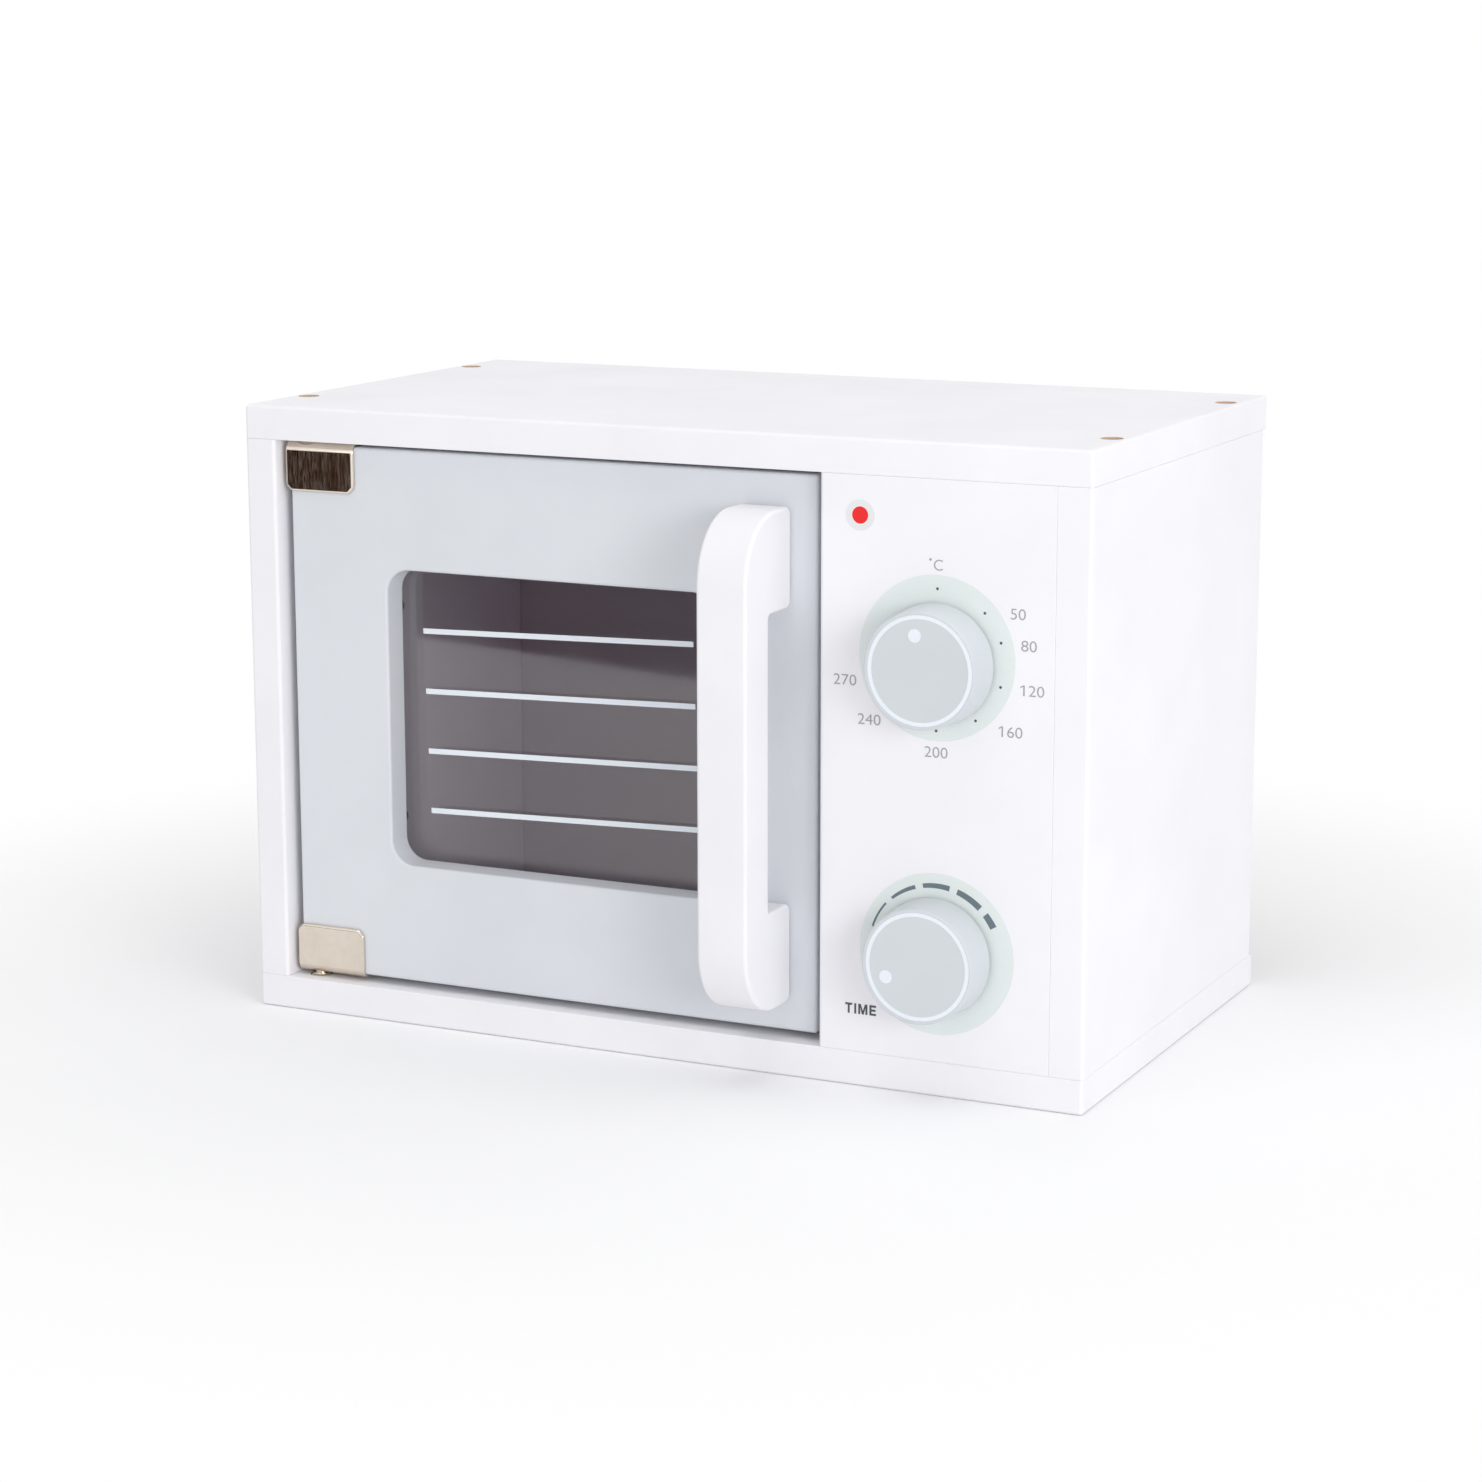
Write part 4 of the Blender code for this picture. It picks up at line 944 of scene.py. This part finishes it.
def film_disc(name, x, y, z, outer, inner, body, slot, finish, steps=TURN_STEPS):
    """A printed disc or ring that faces the front, on the ground at y."""
    centre = at(x, y, z) + FRONTWARD * (FILM / 2 - SUNK)
    return put(name, turned(disc(outer, inner), centre, FRONTWARD, steps), body, slot,
               [finish])


def around(x, z, reach, bearing):
    """The point at a distance and a bearing, clockwise from straight up."""
    angle = math.radians(bearing)
    return x + reach * math.sin(angle), z + reach * math.cos(angle)


ring = disc(RING_OUTER, RING_OUTER - RING_WIDTH)
print("a ring's profile in mm:", [(round(x / MM, 2), round(y / MM, 2)) for x, y in ring])

# %% Knobs
KNOB_RADIUS = 19.1 * MM
KNOB_FACE_RADIUS = 18.4 * MM
KNOB_TAPER = 3             # degrees that the side leans in
KNOB_EDGE = 0.6 * MM
KNOB_EDGE_STEPS = 8
KNOB_FOOT_EDGE = 0.5 * MM
KNOB_FOOT_STEPS = 6
KNOB_BORE = 4.3 * MM
KNOB_BORE_DEPTH = 9.0 * MM


def knob_profile(tall):
    """A knob's outline for the lathe, from the middle of its face to the end of its bore."""
    rim = (KNOB_FACE_RADIUS - KNOB_EDGE, tall - KNOB_EDGE)
    foot = (KNOB_RADIUS - KNOB_FOOT_EDGE, KNOB_FOOT_EDGE)
    return [(0, tall), *arc(rim, KNOB_EDGE, 90, KNOB_TAPER, KNOB_EDGE_STEPS),
            *arc(foot, KNOB_FOOT_EDGE, KNOB_TAPER, -90, KNOB_FOOT_STEPS),
            (KNOB_BORE, 0), (KNOB_BORE, KNOB_BORE_DEPTH), (0, KNOB_BORE_DEPTH)]


def knob(body, bearing):
    """One knob with its ring and pointer; the bearing is the pointer's."""
    low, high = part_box(body)
    tall = high.y - low.y
    centre = (low + high) / 2
    base = Vector((centre.x, high.y, centre.z))
    put(f"{body}_turned", turned(knob_profile(tall), base, FRONTWARD), body, "knob_paint",
        [knob_lacquer], body)
    x, _, z = in_mm(centre)
    face = in_mm(low)[1]
    film_disc(f"{body}_ring", x + RING_OFF[0], face, z + RING_OFF[1], RING_OUTER,
              RING_OUTER - RING_WIDTH, body, "knob_paint", white_ink)
    point_x, point_z = around(x, z, POINTER_REACH, bearing)
    film_disc(f"{body}_pointer", point_x, face, point_z, POINTER_RADIUS, 0, body,
              "knob_paint", white_ink, HOLE_STEPS)
    print(body, "centre", (x, z), "height", round(tall / MM, 2))


knob("temperature_knob", bearing=-7.5)
knob("timer_knob", bearing=248.0)

# %% [markdown]
# ## The scales
# Behind each knob a pale disc is printed. The upper one carries six dots and the temperatures
# round it, the lower one a run of dashes that grow thicker as the time grows longer. The digits
# are a plain sans serif with thin strokes. They could be drawn one by one, but Blender's own font
# is close, so its text is made thinner and wider until it matches.

# %% Dial discs and dots
DIALS = {"temperature_dial": (249.9, 0, 140.2), "timer_dial": (250.7, 0, 46.3)}
DIAL_RADIUS = 26.0
DIAL_HOLE = 7.0
ON_DISC = -0.04            # the ground of a second print, on top of the disc
DOTS_ROUND = (250.0, 139.7)
DOT_REACH = 22.2
DOT_RADIUS = 0.45
DOT_BEARINGS = (0, 45, 72, 108, 144, 180)
DOT_STEPS = 24

for name, place in DIALS.items():
    film_disc(name, *place, DIAL_RADIUS, DIAL_HOLE, "cabinet", "white_paint", dial_ink)
for number, bearing in enumerate(DOT_BEARINGS, 1):
    x, z = around(*DOTS_ROUND, DOT_REACH, bearing)
    film_disc(f"temperature_dot_{number}", x, ON_DISC, z, DOT_RADIUS, 0, "cabinet",
              "white_paint", dot_ink, DOT_STEPS)
print("two discs", 2 * DIAL_RADIUS, "mm across, and", len(DOT_BEARINGS), "dots")

# %% Words in Blender's own font
DIGIT_HEIGHT = 3.6 * MM
CAPITAL_SHARE = 0.729      # a capital's height in Blender's own font, of its size
THINNER = -0.03 * MM       # taken off each side of a stroke
CURVE_STEPS = 6            # between two points of a letter's outline


def lettered(name, words, x, z, wider=1.0):
    """Words in Blender's own plain font, printed on the control panel."""
    text = bpy.data.curves.new(name, "FONT")
    text.body = words
    text.size = DIGIT_HEIGHT / CAPITAL_SHARE
    text.align_x = "CENTER"
    text.align_y = "CENTER"
    text.offset = THINNER
    text.extrude = FILM / 2
    text.resolution_u = CURVE_STEPS
    drawn = bpy.data.objects.new(name, text)
    bpy.context.scene.collection.objects.link(drawn)
    mesh = settle(drawn)
    mesh.transform(Matrix.Diagonal((wider, 1.0, 1.0, 1.0)))
    return printed(name, mesh, x, 0, z, "cabinet", "white_paint", scale_ink)


print("a digit is", DIGIT_HEIGHT / MM, "mm high")

# %% The temperatures
WIDER = 1.1                # the printed digits are wider than the font's
FLAG_WIDE = 0.95 * MM
FLAG_DROP = 0.55 * MM
FLAG_THICK = 0.45 * MM
TEMPERATURES = {
    "50": (276.5, 155.6), "80": (280.2, 146.0), "120": (281.0, 132.2), "160": (274.1, 118.9),
    "200": (250.0, 110.5), "240": (227.4, 119.0), "270": (219.1, 131.0)}
UNIT_PLACE = (250.2, 169.0)
DEGREE_PLACE = (247.6, 0, 170.8)
DEGREE_RADIUS = 0.42


def flag(name, digits):
    """The slanted stroke that the font leaves out at the top left of its plain 1."""
    left = min(vert.co.x for vert in digits.data.vertices)
    top = max(vert.co.z for vert in digits.data.vertices)
    film = sheet([(0, 0), (0, -FLAG_THICK), (-FLAG_WIDE, -FLAG_DROP - FLAG_THICK),
                  (-FLAG_WIDE, -FLAG_DROP)], FILM)
    x, _, z = in_mm(Vector((left, 0, top)))
    return printed(name, film, x, 0, z, "cabinet", "white_paint", scale_ink)


for words, (x, z) in TEMPERATURES.items():
    begins_with_one = words[0] == "1"
    digits = lettered(f"temperature_{words}", words,
                      x + (FLAG_WIDE / 2 / MM if begins_with_one else 0), z, WIDER)
    if begins_with_one:
        flag(f"temperature_{words}_flag", digits)
lettered("temperature_unit", "C", *UNIT_PLACE)
film_disc("temperature_degree", *DEGREE_PLACE, DEGREE_RADIUS, 0, "cabinet", "white_paint",
          scale_ink, DOT_STEPS)
print("temperatures:", list(TEMPERATURES))

# %% Dashes of the timer
DASHES = 5
DASHES_ROUND = (250.7, 46.0)
DASH_PITCH = 30.0          # degrees from one dash to the next
DASH_LENGTH = 23.2         # degrees
DASH_START, DASH_END = -72.0, 60.5
DASH_OUTSIDE = 23.1        # the dashes share their outer edge and grow inwards
DASH_THIN, DASH_THICK = 0.65, 2.3
DASH_GROWS = -49.0         # bearing at which they begin to grow
DASH_SWELL = 0.7           # below 1 they grow fast at first, then ever less
DASH_STEPS = 16


def dash_width(bearing):
    """How thick the dashes are at a bearing."""
    share = (bearing - DASH_GROWS) / (DASH_END - DASH_GROWS)
    return DASH_THIN + (DASH_THICK - DASH_THIN) * max(0, share) ** DASH_SWELL


def dash(number, start, end):
    """One dash of the timer's scale, from one bearing to another."""
    bearings = [start + (end - start) * step / DASH_STEPS for step in range(DASH_STEPS + 1)]
    outer = [around(0, 0, DASH_OUTSIDE, b) for b in bearings]
    inner = [around(0, 0, DASH_OUTSIDE - dash_width(b), b) for b in reversed(bearings)]
    outline = [(x * MM, z * MM) for x, z in outer + inner]
    x, z = DASHES_ROUND
    return printed(f"timer_dash_{number}", sheet(outline, FILM), x, ON_DISC, z, "cabinet",
                   "white_paint", slate_ink)


for number in range(DASHES):
    start = DASH_START + DASH_PITCH * number
    dash(number + 1, start, min(start + DASH_LENGTH, DASH_END))
print("dashes grow from", DASH_THIN, "to", DASH_THICK, "mm")

# %% [markdown]
# ## The timer's word
# The word beside the timer is set in bolder capitals than the scale. Blender's font could be
# thickened, but that spoils its corners, so each letter is drawn as an outline, in millimetres
# from its lower left corner.

# %% Four capitals
TALL = 3.35                # height of a capital
STROKE = 0.66
T_WIDE, M_WIDE, E_WIDE = 2.4, 3.15, 2.25


def upright(left):
    """A stem's two sides."""
    return left, left + STROKE


def capital_t():
    """The outline of a T, and its width."""
    left, right = upright((T_WIDE - STROKE) / 2)
    under = TALL - STROKE
    return [(0, TALL), (T_WIDE, TALL), (T_WIDE, under), (right, under), (right, 0),
            (left, 0), (left, under), (0, under)], T_WIDE


def capital_i():
    """The outline of an I, and its width."""
    return [(0, 0), (0, TALL), (STROKE, TALL), (STROKE, 0)], STROKE


def capital_m():
    """The outline of an M, and its width."""
    shoulder, valley, notch = 1.3 * STROKE, 0.32 * TALL, 0.70 * TALL
    half = M_WIDE / 2
    return [(0, 0), (0, TALL), (shoulder, TALL), (half, valley), (M_WIDE - shoulder, TALL),
            (M_WIDE, TALL), (M_WIDE, 0), (M_WIDE - STROKE, 0), (M_WIDE - STROKE, notch),
            (half + STROKE / 2, 0), (half - STROKE / 2, 0), (STROKE, notch),
            (STROKE, 0)], M_WIDE


def capital_e():
    """The outline of an E, and its width."""
    low, high = upright((TALL - STROKE) / 2)
    return [(0, 0), (0, TALL), (E_WIDE, TALL), (E_WIDE, TALL - STROKE),
            (STROKE, TALL - STROKE), (STROKE, high), (E_WIDE - STROKE / 4, high),
            (E_WIDE - STROKE / 4, low), (STROKE, low), (STROKE, STROKE), (E_WIDE, STROKE),
            (E_WIDE, 0)], E_WIDE


CAPITALS = (capital_t(), capital_i(), capital_m(), capital_e())
print("the capitals are", [wide for _, wide in CAPITALS], "mm wide")

# %% The word, letter by letter
LETTER_GAP = 0.72
WORD_START = (219.75, 23.8)

x, z = WORD_START
for number, (outline, wide) in enumerate(CAPITALS):
    film = sheet([(across * MM, up * MM) for across, up in outline], FILM)
    printed(f"timer_letter_{number + 1}", film, x, 0, z, "cabinet", "white_paint", dot_ink)
    x += wide + LETTER_GAP
print("the word is", round(x - LETTER_GAP - WORD_START[0], 1), "mm long")

# %% [markdown]
# ## The indicator lamp
# The red lamp at the top of the panel is only printed, a dot in a pale ring. A lens that stands
# proud would look fine, but the real one throws no shadow and shows no highlight of its own.

# %% Indicator lamp, printed
LAMP_PLACE = (224.0, 0, 183.1)
LAMP_RING = (4.85, 3.0)    # outer and inner radius
LAMP_DOT = 2.7
film_disc("indicator_ring", *LAMP_PLACE, *LAMP_RING, "cabinet", "white_paint", ring_ink)
film_disc("indicator_dot", *LAMP_PLACE, LAMP_DOT, 0, "cabinet", "white_paint", red_ink)
print("indicator:", 2 * LAMP_RING[0], "mm across")

# %% [markdown]
# ## Screws
# All screws are pan heads with a cross recess, in a few sizes. A cylinder in each hole would pass
# from far off, but with the door open the heads are seen close. So a screw is turned first and
# then the recess is cut, as in the factory, where a punch makes it. Screws of one size share one
# mesh, which stands at each place in turn.

# %% A screw
HEAD_SIDE = 0.35           # straight share of a head's height
DOME_STEPS = 7
RECESS_REACH, RECESS_HALF = 0.62, 0.13    # of the head's radius
RECESS_DEPTH = 0.6                        # of the head's height
POINT, TIP = 1.5, 0.25                    # the point's length and end, in shank radii


def screw_mesh(head_radius, head_height, shank_radius, length, finish):
    """A pan head screw along Z, the underside of its head at zero."""
    side = head_height * HEAD_SIDE
    dome = [(head_radius * x, side + (head_height - side) * y)
            for x, y in arc((0, 0), 1, 90, 0, DOME_STEPS)]
    profile = [(0, head_height)] + dome[1:] + [
        (head_radius, 0), (shank_radius, 0), (shank_radius, POINT * shank_radius - length),
        (TIP * shank_radius, -length), (0, -length)]
    blank = draft(turned(profile, Vector(), UPWARD, SMALL_STEPS), finish)
    reach, half = head_radius * RECESS_REACH, head_radius * RECESS_HALF
    floor = head_height * (1 - RECESS_DEPTH)
    tools = [cut(blank, block(Vector((-x, -y, floor)), Vector((x, y, 2 * head_height))), finish)
             for x, y in ((reach, half), (half, reach))]
    return finished(blank, tools)


print("a head is domed over", 1 - HEAD_SIDE, "of its height")

# %% All the screws, one mesh per size
REARWARD = -FRONTWARD
SCREWS = {                 # body, way out, and in mm head radius, head height and shank radius
    "top_screw": ("cabinet", UPWARD, 2.95, 2.2, 1.7),
    "bottom_screw": ("cabinet", -UPWARD, 2.95, 2.2, 1.7),
    "back_screw": ("cabinet", REARWARD, 2.6, 1.5, 1.3),
    "catch_screw": ("cabinet", LEFTWARD, 2.5, 1.5, 1.2),
    "pane_screw": ("door", REARWARD, 2.1, 1.2, 1.0),
    "handle_screw": ("door", REARWARD, 3.5, 2.2, 1.8),
    "clip_screw": ("door", REARWARD, 2.4, 1.4, 1.2),
    "temperature_retaining_screw": ("temperature_knob", REARWARD, 3.4, 2.0, 1.5),
    "timer_retaining_screw": ("timer_knob", REARWARD, 3.4, 2.0, 1.5)}

for kind, (body, outward, *sizes) in SCREWS.items():
    nodes = [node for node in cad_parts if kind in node]
    head_radius, head_height, shank_radius = (size * MM for size in sizes)
    slot, finish = ("nickel", nickel_plate) if kind == "clip_screw" else ("zinc", zinc_plate)
    mesh = None
    for node in nodes:
        low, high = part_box(node)
        whole = abs((high - low) @ outward)
        if mesh is None:
            mesh = screw_mesh(head_radius, head_height, shank_radius, whole - head_height,
                              finish)
        piece = put(node + "_turned", mesh, body, slot, (), node)
        seat = (low + high) / 2 + outward * (whole / 2 - head_height)
        piece.matrix_world = (Matrix.Translation(seat)
                              @ outward.to_track_quat("Z", "Y").to_matrix().to_4x4())
    print(len(nodes), kind, "with", len(mesh.polygons), "faces")

# %% [markdown]
# ## Pins and bushes
# The pins are turned steel with eased ends, the washer under the lower one carries the door's
# weight, and the nylon bushes are rounded a little at their mouths. The CAD solids could stay,
# but their edges are crisp and catch no light, so all five are turned again with eased ends.

# %% Round hardware of the hinge
PIN_BORE = 2.1 * MM
EASED_END = 0.25 * MM
END_STEPS = 4              # round an eased end
ROUND_WORK = {             # body, slot, finish and bore
    "lower_hinge_pin": ("door", "nickel", nickel_plate, 0),
    "upper_hinge_pin": ("door", "nickel", nickel_plate, 0),
    "hinge_thrust_washer": ("door", "nickel", nickel_plate, PIN_BORE),
    "lower_hinge_bush": ("cabinet", "white_nylon", moulded_nylon, PIN_BORE),
    "upper_hinge_bush": ("cabinet", "white_nylon", moulded_nylon, PIN_BORE)}


def round_work(node, bore):
    """A rod or ring that stands upright, as large as its CAD node, its ends eased."""
    low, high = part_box(node)
    size = high - low
    radius, half = size.x / 2, size.z / 2
    edge = min(EASED_END, size.z / 3)
    outside = (arc((radius - edge, half - edge), edge, 90, 0, END_STEPS)
               + arc((radius - edge, edge - half), edge, 0, -90, END_STEPS))
    inside = [(bore, -half), (bore, half), outside[0]] if bore else [(0, -half)]
    start = [] if bore else [(0, half)]
    return turned(start + outside + inside, (low + high) / 2, UPWARD, SMALL_STEPS)


for node, (body, slot, finish, bore) in ROUND_WORK.items():
    piece = put(node + "_turned", round_work(node, bore), body, slot, [finish], node)

# %% [markdown]
# ## The rest of the hardware
# The catch, the plate it pulls on, the back, and the spindles with their washers and felts
# could be built again too, but their CAD shapes are right as they are. Each only takes the
# finish of what it is made of.

# %% Finishes for the CAD nodes that stay
KEPT = {
    zinc_plate: ("screw", "pole_plate", "strike_plate", "retaining_washer"),
    moulded_nylon: ("catch_body",),
    sintered_ferrite: ("magnet",),
    beech_wood: ("spindle",),
    wool_felt: ("felt",),
    hardboard_with_painted_shade: ("back_panel",)}
kept = [node for node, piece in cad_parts.items() if not piece.hide_render]
for node in kept:
    for finish, words in KEPT.items():
        if any(word in node for word in words):
            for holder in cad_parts[node].material_slots:
                holder.material = finish
print("kept CAD nodes:", kept)

# %% [markdown]
# ## Floor and light
# The toy stands on a plain pale floor that runs far out and turns to white. The light is that of
# a bright studio: light from everywhere, with large soft lamps above, to the left, to the right
# and in front, so that each face is almost equally bright and shadows are faint. A picture of a
# studio could light it too, but each lamp here has a number that can be turned up or down until
# one face matches. A low dark card stands in front, out of the picture: only reflections see it,
# and it gives the upper clip and the top of the window something dark to mirror.

# %% Floor
FLOOR_SIZE = 40.0          # metres from the toy to the floor's edge
FLOOR_THICKNESS = 0.02
FADE_FROM, FADE_TO = 0.18, 0.45     # metres from the toy, where the floor turns to white


def shown(tree):
    """1 for a ray from the eye, from a mirror image or through a clear sheet, and else 0."""
    rays = add(tree, "ShaderNodeLightPath", {})
    seen = add(tree, "ShaderNodeMath", {
        0: rays.outputs["Is Camera Ray"], 1: rays.outputs["Is Glossy Ray"]},
        operation="MAXIMUM")
    return add(tree, "ShaderNodeMath", {
        0: seen.outputs[0], 1: rays.outputs["Is Transmission Ray"]},
        operation="MAXIMUM").outputs[0]


def pale_floor():
    """A pale floor that fades to white with distance from the toy."""
    material, tree, place = new_material("pale floor")
    away = add(tree, "ShaderNodeVectorMath", {0: place}, operation="LENGTH")
    fade = add(tree, "ShaderNodeMapRange", {
        "Value": away.outputs["Value"], "From Min": FADE_FROM, "From Max": FADE_TO},
        interpolation_type="SMOOTHSTEP")
    amount = add(tree, "ShaderNodeMath", {
        0: fade.outputs["Result"], 1: shown(tree)}, operation="MULTIPLY")
    grain = add(tree, "ShaderNodeTexNoise", {"Vector": place, "Scale": 8.0, "Detail": 2.0})
    tone = add(tree, "ShaderNodeMix", {
        AMOUNT: grain.outputs["Fac"], FIRST: colour("FBFBFC"), SECOND: colour("F9F9FA")},
        data_type="RGBA")
    matt = add(tree, "ShaderNodeBsdfDiffuse", {"Color": tone.outputs[MIXED]})
    white = add(tree, "ShaderNodeEmission", {"Color": colour("FFFFFF"), "Strength": 1.0})
    mix = add(tree, "ShaderNodeMixShader", {
        0: amount.outputs[0], 1: matt.outputs[0], 2: white.outputs[0]})
    add(tree, "ShaderNodeOutputMaterial", {"Surface": mix.outputs[0]})
    return material


floor_mesh = block(Vector((-FLOOR_SIZE, -FLOOR_SIZE, -FLOOR_THICKNESS)),
                   Vector((FLOOR_SIZE, FLOOR_SIZE, 0)))
floor = draft(floor_mesh, pale_floor())
floor.name = "floor"
floor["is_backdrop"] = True
print("the floor turns white", FADE_TO, "m away")

# %% Surroundings
SURROUND = 0.62            # strength of the light that comes from everywhere
world = bpy.data.worlds.new("studio")
bpy.context.scene.world = world
world.use_nodes = True
sky = world.node_tree
sky.nodes.clear()
strength = add(sky, "ShaderNodeMapRange", {
    "Value": shown(sky), "To Min": SURROUND, "To Max": 1.0})
glow = add(sky, "ShaderNodeBackground", {
    "Color": colour("FFFFFF"), "Strength": strength.outputs["Result"]})
add(sky, "ShaderNodeOutputWorld", {"Surface": glow.outputs[0]})
print("surroundings light at", SURROUND, "and show at 1")

# %% Lamps
AIM = Vector((0, 0, 0.1))
LAMPS = {                  # place and size in metres, and watts
    "top lamp": ((0.1, -0.2, 1.6), 1.4, 7.4),
    "left lamp": ((-0.5, -1.4, 0.5), 0.8, 1.2),
    "right lamp": ((1.6, -0.8, 0.5), 0.8, 4.4),
    "front lamp": ((1.3, -1.1, 0.4), 0.7, 6.1)}
for name, (place, size, watts) in LAMPS.items():
    lamp = bpy.data.lights.new(name, "AREA")
    lamp.shape = "DISK"
    lamp.size = size
    lamp.energy = watts
    stand = bpy.data.objects.new(name, lamp)
    bpy.context.scene.collection.objects.link(stand)
    stand.location = place
    stand.rotation_mode = "QUATERNION"
    stand.rotation_quaternion = (AIM - Vector(place)).to_track_quat("-Z", "Y")
    print(name, "of", size, "m gives", watts, "W")

# %% Dark card, seen only in reflections
CARD_SIZE = Vector((1.4, 0.01, 0.2))          # metres
CARD_RIGHT = Vector((-0.2, -0.644, 0.0))      # where its right end stands
CARD_TURN = math.radians(14)


def dark_card():
    """A card that glows a dark brown of its own; only mirror-like reflections see it."""
    material, tree, place = new_material("dark card")
    card_mottle = add(tree, "ShaderNodeTexNoise", {"Vector": place, "Scale": 6.0, "Detail": 2.0})
    tone = add(tree, "ShaderNodeMix", {
        AMOUNT: card_mottle.outputs["Fac"], FIRST: colour("3A2416"), SECOND: colour("24160D")},
        data_type="RGBA")
    # the card glows its own dark brown and takes no light: painted darkness for the metal and the
    # window to mirror
    shader = add(tree, "ShaderNodeEmission", {"Color": tone.outputs[MIXED], "Strength": 1.0})
    add(tree, "ShaderNodeOutputMaterial", {"Surface": shader.outputs[0]})
    mesh = block(Vector((-CARD_SIZE.x, -CARD_SIZE.y, 0)), Vector((0, 0, CARD_SIZE.z)))
    mesh.transform(Matrix.Translation(CARD_RIGHT) @ Matrix.Rotation(CARD_TURN, 4, "Z"))
    card = draft(mesh, material)
    card.name = "dark_card"
    for ray in ("camera", "diffuse", "transmission", "volume_scatter", "shadow"):
        setattr(card, f"visible_{ray}", False)
    card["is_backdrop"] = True


dark_card()
print("dark card:", list(CARD_SIZE), "m")

# %% [markdown]
# ## Size
# The dressed model is meant to keep the CAD model's size, so the box of everything it shows is
# measured.

# %% Sizes
low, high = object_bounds()
